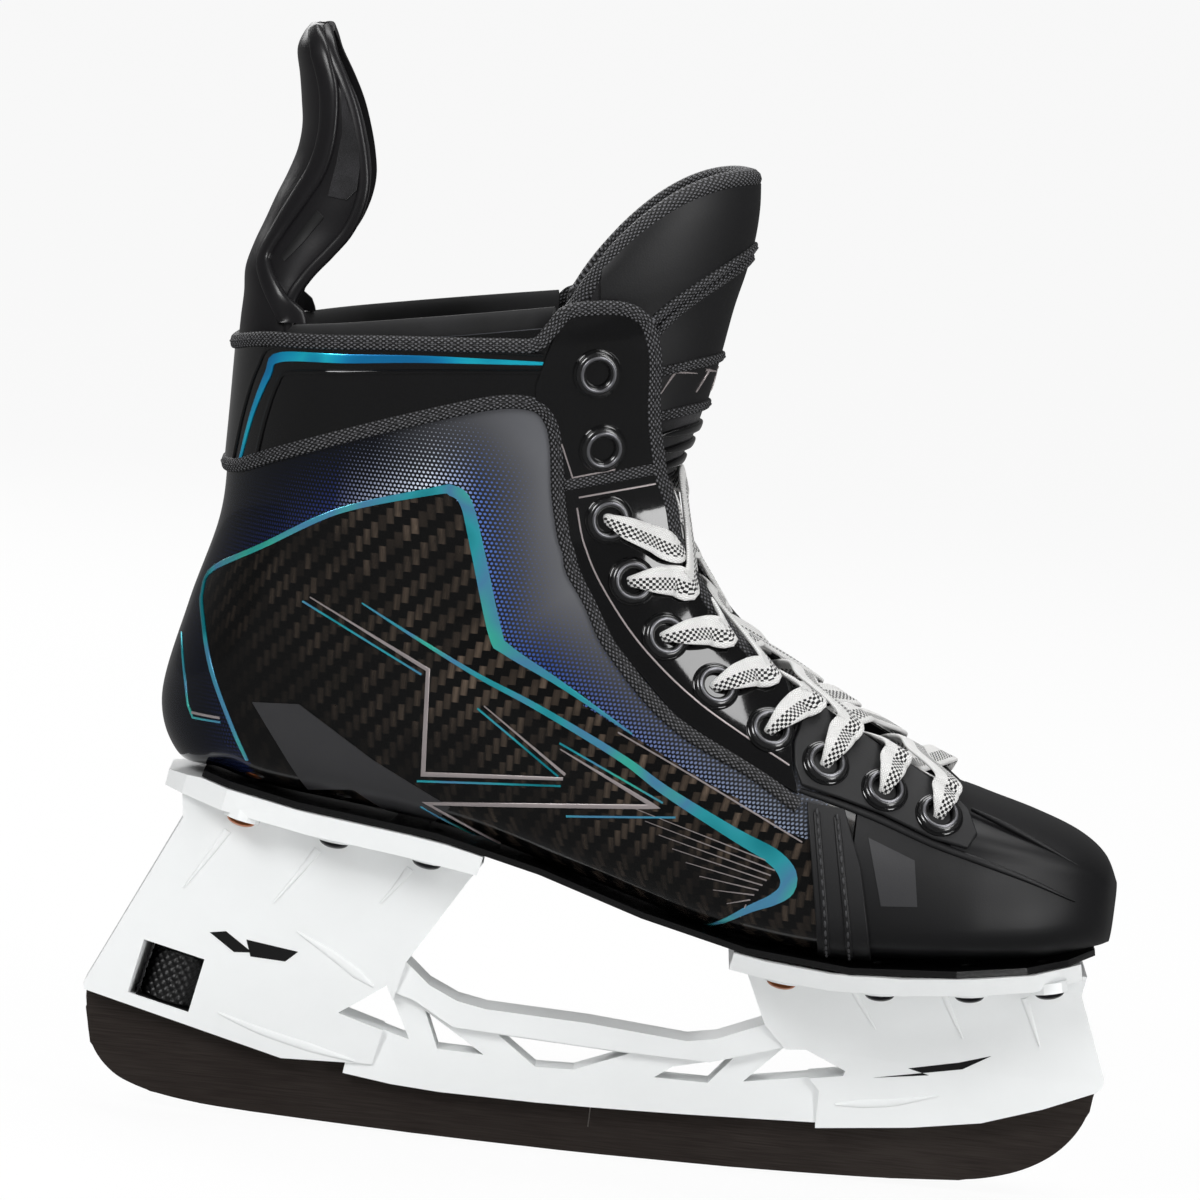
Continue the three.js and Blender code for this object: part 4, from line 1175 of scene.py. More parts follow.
@dataclass
class Boot:
    """The moulded boot: shell, toe, cuff, trims, tapes, printed lines and fastenings."""

    wall_thickness: float = 3.0
    plate: float = 1.6
    tape_width: float = 4.2
    eyelet_ring: float = 4.95
    eyelet_roll: float = 1.5
    rivet_head: float = 4.2

    def build(self) -> None:
        """Make every piece of the boot."""
        self.shell()
        self.toe_box()
        self.lining()
        self.cuff()
        for side in Side:
            self.trims(side)
            self.toe_details(side)
            self.printed_lines(side)
            self.eyelets(side)
        self.tapes()
        self.rivets()
        for frame_node, finish in (("outsole", Stuff.SOLE), ("footbed", Stuff.FOOTBED)):
            wear(frame_node, finish)

    def shell(self) -> None:
        """Press the carbon shell, with the printed panel marked on it."""
        rows = spread(6.3, LAST.collar, 150)
        cols = spread(-1, 1, 120)
        over = [[LAST.point(s, a) for a in cols] for s in rows]
        under = [[LAST.point(s, a, self.wall_thickness) for a in cols] for s in rows]
        shape = wall(over, under)
        panel = [*PANEL_LINE, (62.0, 122.0), (40.0, 170.0), (10.0, 260.0), (-150.0, 260.0),
                 (-160.0, 96.0)]
        count = len(rows) * len(cols)
        marks, fades = [0.0] * (2 * count), [0.0] * (2 * count)
        for i, p in enumerate(shape.points[:count]):
            if inside((p.x, p.z), panel):
                marks[i] = 1.0
                fades[i] = min(1.0, distance_to((p.x, p.z), PANEL_LINE) / 24)
        shape.marks = {"panel": marks, "fade": fades, "lined": [0.0] * count + [1.0] * count}
        put("shell", shape, Stuff.CARBON, "root", "shell_carbon", "boot_shell")

    def cap_ring(self, s: float, inset: float) -> list[Vector]:
        """Return a closed loop round the toes: the boot's sides, then an arch over the top."""
        sides = [LAST.point(s, max(u, 1e-4), inset) for u in spread(0, 0.75, 26)]
        shoulder = sides[-1]
        crown = LAST.point(s, 1, inset) - Vector((0, 0, inset))
        arch = []
        for u in spread(0, 1, 16)[1:]:
            rise = math.sin(u * math.pi / 2)
            y = shoulder.y * max(0.0, math.cos(u * math.pi / 2)) ** 0.8
            arch.append(Vector((shoulder.x + (crown.x - shoulder.x) * rise, y,
                                shoulder.z + (crown.z - shoulder.z) * rise)))
        half = [*sides, *arch]
        half[0].y = half[-1].y = 0.0
        return [*half, *[Vector((p.x, -p.y, p.z)) for p in reversed(half[1:-1])]]

    def toe_box(self) -> None:
        """Mould the toe cap and its flanks."""
        rows = spread(0, LAST.throat_end, 40)
        outside = [self.cap_ring(s, 0) for s in rows]
        back = [self.cap_ring(s, 2.6) for s in reversed(spread(0.8, LAST.throat_end, 30))]
        dome = rings([*outside, *back])
        sides = spread(LAST.throat_end, 6.28, 12)
        cols = spread(-1, 1, 90)
        flanks = wall([[LAST.point(s, a) for a in cols] for s in sides],
                      [[LAST.point(s, a, 2.6) for a in cols] for s in sides])
        put("toe_box", dome.add(flanks), Stuff.TOE, "root", "toe_rubber", "toe_cap")

    def lining(self) -> None:
        """Pad the collar and line the boot, with a rounded roll along the top."""
        inset, half = 5.6, 2.4
        rows = spread(4.6, LAST.collar + 0.02, 70)
        over, under = [], []

        def reach(s: float) -> float:
            """Return how far round the section the lining reaches before the facings."""
            bx, bz, tx, tz, *_, corner, _ = LAST.section(s)
            length = math.hypot(tx - bx, tz - bz)
            share = min(0.45, corner / length)
            return LAST.corner + (1 - LAST.corner) * ((1 - 30 / length) - share) / (1 - share)

        for s in rows:
            edge = reach(s)
            over.append([LAST.point(s, a, inset - half) for a in spread(-edge, edge, 60)])
            under.append([LAST.point(s, a, inset + half) for a in spread(-edge, edge, 60)])
        for angle in spread(0, 75, 5)[1:]:
            c, h = math.cos(math.radians(angle)), math.sin(math.radians(angle))
            lift = Vector((0, 0, 5.6 * h))
            edge = reach(LAST.collar)
            over.append([LAST.point(LAST.collar, a, inset - half * c) + lift
                         for a in spread(-edge, edge, 60)])
            under.append([LAST.point(LAST.collar, a, inset + half * c) + lift
                          for a in spread(-edge, edge, 60)])
        made = piece("collar_lining", wall(over, under), Stuff.LINING.material())
        settle(made, "root", "boot_lining", "liner")

    def cuff(self) -> None:
        """Lay the glossy cuff over the heel between the two tapes, with its blue line and welts."""
        seats = sorted((a, s) for s, a in (LAST.place(x, z) for x, z in CUFF_TAPE[9:]))
        heel = LAST.place(-116.0, 188.3)[0] + 0.05
        seats = [(0.0, heel), *seats]
        front = LAST.place(-31.0, 228.0)[1]

        def low(a: float) -> float:
            """Return the cuff's lowest section at a place round it."""
            for (a0, s0), (a1, s1) in zip(seats, seats[1:]):
                if abs(a) <= a1:
                    return s0 + (s1 - s0) * (abs(a) - a0) / (a1 - a0)
            return seats[-1][1]

        cols = [front * v for v in spread(-1, 1, 100)]
        over, under = [], []
        for u in spread(0, 1, 22):
            rows = [(low(a) + (LAST.collar - 0.02 - low(a)) * u, a if abs(a) > 1e-4 else 1e-4)
                    for a in cols]
            over.append([LAST.laid(s, a, 0.9)[0] for s, a in rows])
            under.append([LAST.laid(s, a, -0.3)[0] for s, a in rows])
        put("cuff_skin", wall(over, under), Stuff.GLOSS, "root", "gloss_trim")
        line = ((-115.4, 189.0), (-113.0, 203.6), (-109.6, 215.4), (-106.4, 221.0), (-86.4, 223.4),
                (-64.9, 225.6), (-33.0, 227.6))
        inner = ((-110.6, 191.6), (-109.0, 203.4), (-106.6, 213.4), (-103.2, 217.2), (-86.0, 219.6),
                 (-64.6, 222.2), (-34.0, 225.2))
        outer = ((-117.2, 190.0), (-115.6, 204.0), (-112.8, 216.6), (-108.0, 224.0), (-86.6, 226.8),
                 (-64.9, 228.6), (-34.0, 230.0))
        for side in Side:
            flank = LAST.seen(side)
            blue = lay_strip(flank, line, (1.2, 1.9, 2.7, 2.8, 2.5, 2.0, 0.9), 1.25, 0.6,
                             smooth=True)
            put(f"cuff_line_{side.label}", blue, Stuff.BLUE, "root", "gloss_trim")
            welts = lay_strip(flank, inner, (1.3,), 1.6, 1.3, PILLOW, smooth=True)
            welts.add(lay_strip(flank, outer, (1.1,), 1.5, 1.2, PILLOW, smooth=True))
            put(f"cuff_welts_{side.label}", welts, Stuff.GLOSS, "root", "gloss_trim")

    def trims(self, side: Side) -> None:
        """Lay the ankle tab, the glossy facing, the matt toe facing, and the silver line that
        paints the highlight along the facing's edges, on one side.
        """
        flank = LAST.seen(side)
        tab = ((-33.2, 230.0), (-31.0, 237.5), (-27.6, 241.6), (-14.0, 243.6), (-8.6, 241.6),
               (-5.2, 237.0), (-3.2, 230.6), (-2.6, 216.9), (1.0, 201.2), (-24.3, 194.4),
               (-26.6, 203.0), (-30.6, 211.0), (-35.0, 216.6), (-35.2, 222.0))
        put(f"tab_{side.label}", lay_panel(flank, tab, 3.0, self.plate, 1.1), Stuff.GLOSS, "root",
            "gloss_trim", f"ankle_tab_{side.label}", soft=0.35)
        facing = ((-24.6, 193.0), (1.4, 200.0), (5.2, 190.4), (9.4, 177.1), (19.8, 161.9),
                  (31.2, 150.8), (45.0, 142.6), (48.4, 134.0), (46.8, 127.4), (47.6, 121.0),
                  (50.0, 114.0), (35.0, 121.0), (13.6, 132.0), (-5.4, 150.2), (-15.6, 166.0),
                  (-21.4, 178.4))
        put(f"lace_facing_{side.label}", lay_panel(flank, facing, 3.0, self.plate, 1.1),
            Stuff.GLOSS, "root", "gloss_trim", f"facing_{side.label}", soft=0.35)
        toe = ((51.5, 138.6), (48.9, 134.4), (47.3, 127.6), (48.1, 121.6), (50.6, 116.4),
               (62.0, 113.6), (74.0, 110.4), (89.0, 105.0), (99.0, 103.2), (101.6, 107.0),
               (98.6, 113.2), (93.2, 117.4), (74.0, 126.6))
        put(f"matt_facing_{side.label}", lay_panel(flank, toe, 3.0, self.plate + 0.1, 1.2),
            Stuff.MATT, "root", "matt_trim", f"toe_facing_{side.label}", soft=0.5)
        # Painted highlight: a thin silver line along the facing's edges, where its raised rim
        # catches a white highlight.
        foil = lay_strip(flank, ((-20.4, 187.6), (-17.2, 177.1), (-10.2, 164.8), (2.6, 149.6),
                                 (20.8, 135.2), (46.6, 121.2)), (0.5,), 1.85, 0.5, smooth=True)
        foil.add(lay_strip(flank, ((-20.2, 190.6), (0.6, 196.2)), (0.5,), 1.85, 0.5))
        foil.add(lay_strip(flank, ((-26.6, 205.6), (-22.6, 196.2), (-11.0, 199.4)), (0.45,), 1.85,
                           0.5))
        put(f"facing_edge_{side.label}", foil, Stuff.SILVER, "root", "gloss_trim")

    def toe_details(self, side: Side) -> None:
        """Lay the stitched strip between shell and toe, and the creases of the toe."""
        flank = LAST.seen(side)
        band = ((52.6, 112.4), (60.6, 70.2), (75.8, 69.6), (69.6, 96.0), (63.4, 111.2))
        put(f"toe_strip_{side.label}", lay_panel(flank, band, 2.5, 1.3, 1.0), Stuff.MATT, "root",
            "stitched_band", f"toe_band_{side.label}", soft=0.4)
        for i, line in enumerate((((55.6, 109.6), (63.0, 71.6)), ((61.4, 108.6), (69.4, 71.4)))):
            groove = lay_strip(flank, line, (2.0,), 1.75, 1.0, PILLOW)
            put(f"toe_strip_seam_{side.label}_{i + 1}", groove, Stuff.MATT, "root", "stitched_band")
            frames = [flank(x, z, 2.0) for (x, z), _ in walk(line, 1.5, False)]
            sew(f"toe_strip_stitches_{side.label}_{i + 1}", frames, "root", 2.9, 1.05, 0.42)
        crease = lay_strip(
            flank,
            ((50.6, 115.4), (62.0, 112.8), (74.0, 109.4), (89.0, 104.4), (103.9, 100.4),
             (118.3, 96.2), (131.0, 91.4)),
            (1.6, 2.4, 2.6, 2.6, 2.2, 1.6, 0.5), 0.6, 1.2, PILLOW, smooth=True)
        crease.add(lay_strip(flank, ((99.5, 114.0), (108.6, 111.0), (120.9, 106.0), (131.0, 101.0)),
                             (0.6, 1.8, 1.8, 0.5), 0.5, 1.2, PILLOW, smooth=True))
        put(f"toe_creases_{side.label}", crease, Stuff.TOE, "root", "toe_rubber")
        patch = lay_panel(flank, ((71.0, 104.4), (84.6, 99.4), (86.6, 87.0), (76.4, 86.2)), 2.5,
                          0.14, 0.4)
        put(f"toe_patch_{side.label}", patch, Stuff.GREY_INK, "root", "toe_rubber")

    def printed_lines(self, side: Side) -> None:
        """Print the foil lines, the lightning strokes and the grey facet on one side."""
        flank = LAST.seen(side)
        teal = lay_strip(
            flank, PANEL_LINE[1:16],
            (1.0, 1.3, 1.6, 1.8, 1.8, 1.6, 1.6, 2.2, 3.2, 3.4, 3.8, 4.0, 3.2, 1.8, 0.5), 0.3, 0.5,
            smooth=True)
        teal.add(lay_strip(
            flank,
            ((-77.3, 154.9), (-61.5, 146.9), (-43.1, 138.1), (-25.0, 130.8), (-0.7, 119.6),
             (13.5, 111.4), (33.3, 101.9), (44.6, 97.0), (49.4, 92.6), (49.6, 88.2),
             (46.0, 84.8), (38.5, 80.6), (25.5, 71.0)),
            (0.4, 0.9, 1.4, 1.8, 2.2, 2.8, 3.6, 4.6, 5.0, 4.4, 3.2, 2.0, 0.5), 0.3, 0.5,
            smooth=True))
        put(f"teal_lines_{side.label}", teal, Stuff.TEAL, "root", "shell_carbon")
        strokes: tuple[tuple[Outline, Sequence[float]], ...] = (
            (((-92.0, 155.0), (-56.9, 138.1), (-55.3, 108.4), (-16.0, 111.7)),
             (0.3, 1.1, 1.3, 0.9)),
            (((-40.2, 129.7), (-15.5, 112.9)), (0.3, 0.8)),
            (((-31.9, 89.1), (-53.4, 99.9), (10.5, 106.9), (-17.7, 120.0)), (0.3, 1.1, 1.3, 0.3)),
            (((-122.2, 117.6), (-114.0, 117.6)), (0.7,)),
            (((-2.0, 126.4), (22.2, 115.6), (40.1, 107.4), (52.6, 101.6)), (0.4, 0.5, 0.5, 0.4)),
        )
        silver = Shape(uvs=[])
        for line, widths in strokes:
            silver.add(lay_strip(flank, line, widths, 0.34, 0.5))
        for i in range(9):
            low, high = (18.0 + 2.9 * i, 100.4 - 2.4 * i), (46.8 - 1.0 * i, 94.6 - 1.5 * i)
            start = (low[0] - 14.0 + 1.3 * i, low[1] + 5.6 - 1.0 * i)
            silver.add(lay_strip(flank, (start, high), (0.15, 0.4), 0.3, 0.5))
        put(f"silver_lines_{side.label}", silver, Stuff.SILVER, "root", "shell_carbon")
        thin = Shape(uvs=[])
        for line in (((-94.0, 153.6), (-58.6, 136.6)), ((-56.8, 106.2), (-16.4, 109.6)),
                     ((-55.2, 98.6), (-31.9, 86.4)), ((-14.0, 101.2), (16.6, 104.6)),
                     ((-18.0, 121.6), (12.6, 108.2)), ((-42.0, 128.8), (-17.4, 112.2)),
                     ((-128.2, 138.1), (-123.6, 119.4), (-121.8, 116.2), (-113.7, 116.4))):
            thin.add(lay_strip(flank, line, (0.6,), 0.32, 0.5))
        put(f"fine_lines_{side.label}", thin, Stuff.TEAL, "root", "shell_carbon")
        facet = ((-105.3, 123.4), (-92.1, 124.4), (-69.7, 110.8), (-46.8, 99.6), (-54.6, 88.4),
                 (-74.6, 101.5), (-87.5, 99.4))
        put(f"grey_facet_{side.label}", lay_panel(flank, facet, 1.8, 0.2, 0.5), Stuff.GREY_INK,
            "root", "shell_carbon")

    def eyelets(self, side: Side) -> None:
        """Set the ten eyelets of one side: an enamelled ring, a pale metal rim line that paints the
        highlight on the ring's crown, and a barrel.
        """
        seats = [LAST.seen(side)(x, z, self.plate + 0.55) for x, z in EYELETS]
        nodes = [f"eyelet_{side.label}_{i + 1}" for i in range(len(EYELETS))]
        points, facing = [at for at, _ in seats], [normal for _, normal in seats]
        tree = bpy.data.node_groups.get("Eyelet ring") or Repeat.rings_on_points()
        made = Repeat.grow(
            f"eyelets_{side.label}", tree, points, [], facing,
            {"Ring": self.eyelet_ring * MM, "Roll": self.eyelet_roll * MM,
             "Barrel": (self.eyelet_ring - 1.45) * MM, "Depth": 7 * MM,
             "Material": Stuff.ENAMEL.material()})
        settle(made, "root", "eyelet_metal", *nodes)
        # Painted highlight: a thin pale metal ring along each eyelet's crown.
        highlight_rims = Repeat.grow(f"eyelet_rims_{side.label}", tree,
                           [at + normal * 1.05 for at, normal in seats], [], facing, {
                               "Ring": (self.eyelet_ring - 0.2) * MM, "Roll": 0.5 * MM,
                               "Barrel": (self.eyelet_ring - 0.5) * MM, "Depth": 0.5 * MM,
                               "Material": Stuff.RIM.material()})
        settle(highlight_rims, "root", "eyelet_metal")
        seat_ring = Repeat.grow(f"eyelet_seats_{side.label}", tree,
                                [at - normal * 0.6 for at, normal in seats], [], facing, {
                                    "Ring": (self.eyelet_ring + 1.2) * MM, "Roll": 0.9 * MM,
                                    "Barrel": self.eyelet_ring * MM, "Depth": 0.6 * MM,
                                    "Material": Stuff.GLOSS.material()})
        settle(seat_ring, "root", "eyelet_metal")

    def tapes(self) -> None:
        """Bind the collar and the cuff with woven tape, stitched down its middle."""
        for name, line, heel, rise in (
                ("collar_tape", COLLAR_TAPE, LAST.collar + 0.02, 2.3),
                ("cuff_tape", CUFF_TAPE, LAST.place(-116.0, 188.3)[0] + 0.05, 1.7)):
            half = [LAST.place(x, z) for x, z in line]
            route = [(s, -a) for s, a in half] + [(heel, 0.012)] + [
                (s, a) for s, a in reversed(half)]
            tape = lay_strip(LAST.laid, route, (self.tape_width,), rise, 2.4, PILLOW, smooth=True,
                             step=0.04)
            put(name, tape, Stuff.TAPE, "root", "gloss_trim")
            frames = [LAST.laid(s, a, rise + 0.06) for (s, a), _ in walk(route, 0.04, True)]
            sew(f"{name}_stitches", frames, "root", 3.0, 0.9, 0.3)
        for side in Side:
            flank = LAST.seen(side)
            cross = lay_strip(flank, ((-24.4, 193.8), (-10.0, 197.6), (1.4, 200.7)), (3.6,), 2.1,
                              2.2, PILLOW)
            put(f"cross_tape_{side.label}", cross, Stuff.TAPE, "root", "gloss_trim")

    def rivets(self) -> None:
        """Head the rivets under the holder's flanges; the first of each row is bare copper."""
        tree = bpy.data.node_groups.get("Rivet head") or Repeat.domes_on_points()
        rows = {"heel": ([-104, -78, -51], [20.5, 20.5, 20.5], 7.5),
                "toe": ([52, 79, 104, 126], [30, 31, 29.5, 25], 6.5)}
        for kind, finish, slot in (("copper", Stuff.COPPER, "rivet_copper"),
                                   ("black", Stuff.RIVET, "rivet_black")):
            points, facing, nodes = [], [], []
            for end, (xs, ys, depth) in rows.items():
                for i, (x, y) in enumerate(zip(xs, ys)):
                    if (i == 0) != (kind == "copper"):
                        continue
                    up = Vector((LAST.sole(x - 1) - LAST.sole(x + 1), 0, 2)).normalized()
                    for side in Side:
                        base = Vector((x, side.value * y, LAST.sole(x)))
                        points += [base - up * (depth + 0.2), base + up * 6.6]
                        facing += [-up, up]
                        nodes.append(f"rivet_{end}_{side.label}_{i + 1}")
            made = Repeat.grow(f"rivets_{kind}", tree, points, [], facing, {
                "Head": self.rivet_head * MM, "Rise": 1.9 * MM, "Material": finish.material()})
            settle(made, "root", slot, *nodes)


def wear(frame_node: str, finish: Finish) -> None:
    """Dress a frame node that keeps its own shape."""
    target = bpy.data.objects[frame_node]
    target.data.materials.clear()
    target.data.materials.append(finish.material())
    LOG.info("dressed %s in %s", frame_node, finish.name)


@dataclass
class Tongue:
    """The felt tongue: a narrow throat, a wide wrapped top with piping, tapes and ribs."""

    # Front line at the middle (x, z), half-width, and how far the edges wrap back and droop.
    rows: tuple[tuple[float, ...], ...] = ((97, 108.5, 13, 1.5, 3.7), (75, 117.6, 15, 2.4, 5.5),
                                           (51, 129, 16, 3.8, 7.1), (33, 140, 16, 5.2, 7.3),
                                           (19.4, 151.6, 15, 6.7, 6.0), (10.4, 165, 14, 7.8, 4.4),
                                           (5.0, 177, 13, 8.6, 2.5), (3.4, 189, 13, 9, 0),
                                           (7.0, 199.6, 17, 10, 0), (11.0, 210, 23, 18, 1),
                                           (13.6, 221, 26, 27, 3), (15.6, 232, 29, 36, 7),
                                           (17.9, 246, 31, 43, 13), (20.3, 256.6, 32.5, 47, 19),
                                           (21.8, 266, 33, 49, 27), (22.2, 275, 33, 50, 33),
                                           (21.6, 283, 32, 49, 38))
    lower: float = 5.0
    upper: float = 6.0

    def skin(self, t: float, v: float, rise: float) -> Frame:
        """Return a point at a rise over the tongue's front, and its normal.

        Args:
            t: Place up the rows.
            v: Place across, -1 at the outer edge.
            rise: Height over the front face.

        Returns:
            The point and the outward direction.
        """
        def bare(t: float, v: float) -> Vector:
            """Return a point of the front face."""
            x, z, width, wrap, droop = through(self.rows, t)
            angle = v * math.pi / 2
            share = 1 - math.cos(angle)
            return Vector((x - wrap * share, width * math.sin(angle), z - droop * share ** 2.0))

        e = 0.02
        up = bare(min(len(self.rows) - 1, t + e), v) - bare(max(0.0, t - e), v)
        across = bare(t, v + e) - bare(t, v - e)
        normal = across.cross(up).normalized()
        return bare(t, v) + normal * rise, normal

    def build(self) -> None:
        """Make the tongue's pad, facing, piping, tapes and ribs."""
        top = len(self.rows) - 1
        over, under = [], []
        for t in spread(0, top, 110):
            thick = self.lower if t < 8 else self.upper
            front, back = [], []
            for v in spread(-1, 1, 48):
                slim = min(1.0, (1 - abs(v)) * 9 + 0.1, (top - t) * 5 + 0.1) ** 0.5
                front.append(self.skin(t, v, -thick * (0.5 - 0.5 * slim))[0])
                back.append(self.skin(t, v, -thick * (0.5 + 0.5 * slim))[0])
            over.append(front)
            under.append(back)
        pad = piece("tongue_pad", wall(over, under), Stuff.FELT.material())
        self.join(pad)
        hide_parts("tongue_lower", "tongue_upper")
        LOG.info("made tongue_pad")

        over, under = [], []
        for t in spread(9.6, top - 0.25, 60):
            row = spread(-0.9, 0.9, 44)
            over.append([self.skin(t, v, 0.5)[0] for v in row])
            under.append([self.skin(t, v, -0.4)[0] for v in row])
        put("tongue_front", wall(over, under), Stuff.MATT, "tongue_top", "tongue_leatherette")

        half = [(t, 0.985) for t in spread(10.4, 15.4, 8)] + [(15.85, 0.955)]
        half += [(15.98, v) for v in spread(0.86, 0.0, 8)]
        rim = [(t, -v) for t, v in half] + list(reversed(half))[1:]
        stations = []
        frames = [self.skin(t, v, -2.6) for (t, v), _ in walk(rim, 0.05, True)]
        for i, (at, normal) in enumerate(frames):
            way = (frames[min(len(frames) - 1, i + 1)][0] - frames[max(0, i - 1)][0]).normalized()
            across = normal.cross(way).normalized()
            stations.append((at, across * 3.0, normal * 3.3))
        put("tongue_piping", sweep(stations, ROUND), Stuff.TAPE, "tongue_top", "tongue_leatherette")

        for name, base, droop, width, rise in (("tongue_tape_upper", 13.75, 3.4, 3.0, 1.6),
                                               ("tongue_tape_upper_twin", 13.4, 3.4, 2.6, 1.5),
                                               ("tongue_tape_lower", 11.0, 0.55, 2.8, 1.6),
                                               ("tongue_tape_foot", 9.75, 0.45, 2.8, 1.6)):
            line = [(base - droop * abs(v) ** 1.6, v) for v in spread(-0.86, 0.86, 24)]
            tape = lay_strip(self.skin, line, (width,), rise, 1.6, PILLOW, smooth=True, step=0.05)
            put(name, tape, Stuff.TAPE, "tongue_top", "tongue_leatherette")
            frames = [self.skin(t, v, rise + 0.05) for (t, v), _ in walk(line, 0.05, True)]
            sew(f"{name}_stitches", frames, "tongue_top", 2.0, 0.7, 0.28)

        decor = Shape(uvs=[])
        for i in range(5):
            v = -0.62 + 0.31 * i
            decor.add(lay_strip(self.skin, ((10.1, v - 0.05), (10.7, v + 0.07)), (0.3, 0.9), 0.8,
                                0.5, step=0.06))
            decor.add(lay_strip(self.skin, ((10.7, v + 0.02), (10.62, v + 0.24)), (0.8, 0.3), 0.8,
                                0.5, step=0.06))
        put("tongue_decor", decor, Stuff.SILVER, "tongue_top", "tongue_leatherette")

        ribs = Shape(uvs=[])
        for i in range(7):
            t = 6.35 + 0.47 * i
            line = [(t - 0.35 * abs(v) ** 1.5, v) for v in spread(-0.8, 0.8, 16)]
            ribs.add(lay_strip(self.skin, line, (0.6, 3.0, 3.4, 3.0, 0.6), 1.3, 1.8, PILLOW,
                               smooth=True, step=0.06))
        grips = piece("tongue_ribs", ribs, Stuff.GLOSS.material())
        self.join(grips)
        LOG.info("made tongue_ribs")

    @staticmethod
    def join(made: bpy.types.Object) -> None:
        """Bake a piece's placement into its mesh; it gets no body of its own."""
        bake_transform(made)


@dataclass
class TendonGuard:
    """The flexible guard behind the ankle: a curved plate, two raised side bands and a felt pad."""

    # Height, back and front seen from the side, and half-width.
    rows: tuple[tuple[float, ...], ...] = ((222.2, -120.8, -104.6, 25.5), (229, -120.8, -105.2, 25),
                                           (236, -120.6, -105.3, 25), (243, -120.9, -101.5, 25),
                                           (250, -119.2, -96.5, 25.5), (257, -116.7, -91.3, 26),
                                           (264, -114.3, -88.6, 26.5), (271, -111.6, -87.8, 26.5),
                                           (278, -109.5, -89, 26), (285, -108.9, -91, 25),
                                           (292, -109.8, -93.5, 23.5), (299, -111, -97, 21.5),
                                           (306, -112.4, -101, 18.5), (311, -111, -103, 14.5),
                                           (314.6, -108.5, -104.6, 8))
    slope: float = 0.19
    thickness: float = 4.6

    def skin(self, t: float, v: float, rise: float) -> Frame:
        """Return a point at a rise over the guard's outside, and its normal.

        Args:
            t: Place up the rows.
            v: Place round the plate, -1 at the outer front edge.
            rise: Height over the outside.

        Returns:
            The point and the outward direction.
        """
        def bare(t: float, v: float) -> Vector:
            """Return a point of the outside."""
            z, back, front, width = through(self.rows, t)
            angle = v * math.pi / 2
            x = back + (front - back) * (1 - math.cos(angle))
            lean = self.slope * max(0.0, (250 - z) / 28)
            return Vector((x, width * math.sin(angle), z + lean * (x - back)))

        e = 0.02
        up = bare(min(len(self.rows) - 1, t + e), v) - bare(max(0.0, t - e), v)
        across = bare(t, v + e) - bare(t, v - e)
        normal = up.cross(across).normalized()
        return bare(t, v) + normal * rise, normal

    def flank(self, side: Side) -> Surface:
        """Return one side as a surface over its side view."""
        def seen(x: float, z: float, rise: float) -> Frame:
            """Find the place on the plate that shows at x, z."""
            t = 0.0
            for i in range(len(self.rows) - 1):
                if self.rows[i][0] <= z:
                    t = i + min(1.0,
                                (z - self.rows[i][0]) / (self.rows[i + 1][0] - self.rows[i][0]))
            _, back, front, _ = through(self.rows, t)
            share = min(1.0, max(0.0, (x - back) / (front - back)))
            return self.skin(t, side.value * math.acos(1 - share) / (math.pi / 2), rise)
        return seen

    def build(self) -> None:
        """Make the plate, its bands and rims, and the pad."""
        top = len(self.rows) - 1
        over, under = [], []
        for t in spread(0, top, 90):
            front, back = [], []
            for v in spread(-1, 1, 56):
                thin = min(1.0, (1 - abs(v)) * 10 + 0.2, (top - t) * 2.5 + 0.25) ** 0.6
                thick = self.thickness * (0.45 + 0.55 * math.cos(v * math.pi / 2) ** 2)
                at, normal = self.skin(t, v, 0)
                front.append(at - normal * (thick / 2 * (1 - thin)))
                back.append(at - normal * (thick / 2 * (1 + thin)))
            over.append(front)
            under.append(back)
        plate = piece("guard_plate", wall(over, under), Stuff.GUARD.material())
        settle(plate, "guard", "guard_plastic", "tendon_guard")

        for side in Side:
            band = lay_strip(
                self.flank(side),
                ((-104.0, 228.0), (-109.6, 235.0), (-114.2, 243.0), (-115.0, 248.0),
                 (-111.6, 256.0), (-106.4, 266.0), (-102.6, 274.0), (-100.8, 284.0),
                 (-101.6, 296.0), (-105.2, 306.0), (-107.6, 312.0)),
                (9.0, 6.0, 5.4, 5.6, 6.4, 7.0, 7.2, 6.6, 6.4, 6.0, 4.0), 1.5, 2.6, PILLOW,
                smooth=True)
            put(f"guard_band_{side.label}", band, Stuff.GUARD, "guard", "guard_plastic", crease=60)
            rim = [(t, side.value * 0.965) for t in spread(0.3, top - 0.3, 24)]
            edge = lay_strip(self.skin, rim, (3.6,), 0.5, 3.0, PILLOW, smooth=True, step=0.2)
            put(f"guard_rim_{side.label}", edge, Stuff.GUARD, "guard", "guard_plastic", crease=60)
            inset = ((-99.4, 302.0), (-96.2, 298.0), (-92.4, 286.0), (-90.6, 276.0), (-90.8, 269.6),
                     (-93.4, 266.4), (-98.6, 266.8), (-97.2, 276.0), (-96.4, 285.0), (-97.6, 294.0))
            felt = lay_panel(self.flank(side), inset, 2.5, 0.5, 1.0)
            put(f"guard_felt_{side.label}", felt, Stuff.FELT, "guard", "guard_felt")
            # Painted shade: a black strip laid on the plate stands in for the slit's dark opening;
            # no opening is cut.
            slit_shade = lay_strip(self.flank(side), ((-109.8, 247.6), (-105.6, 253.6), (-100.4, 261.6)),
                             (2.4, 3.2, 3.2), 0.25, 0.8)
            put(f"guard_slit_{side.label}", slit_shade, Stuff.NYLON_BLACK, "guard", "guard_plastic")

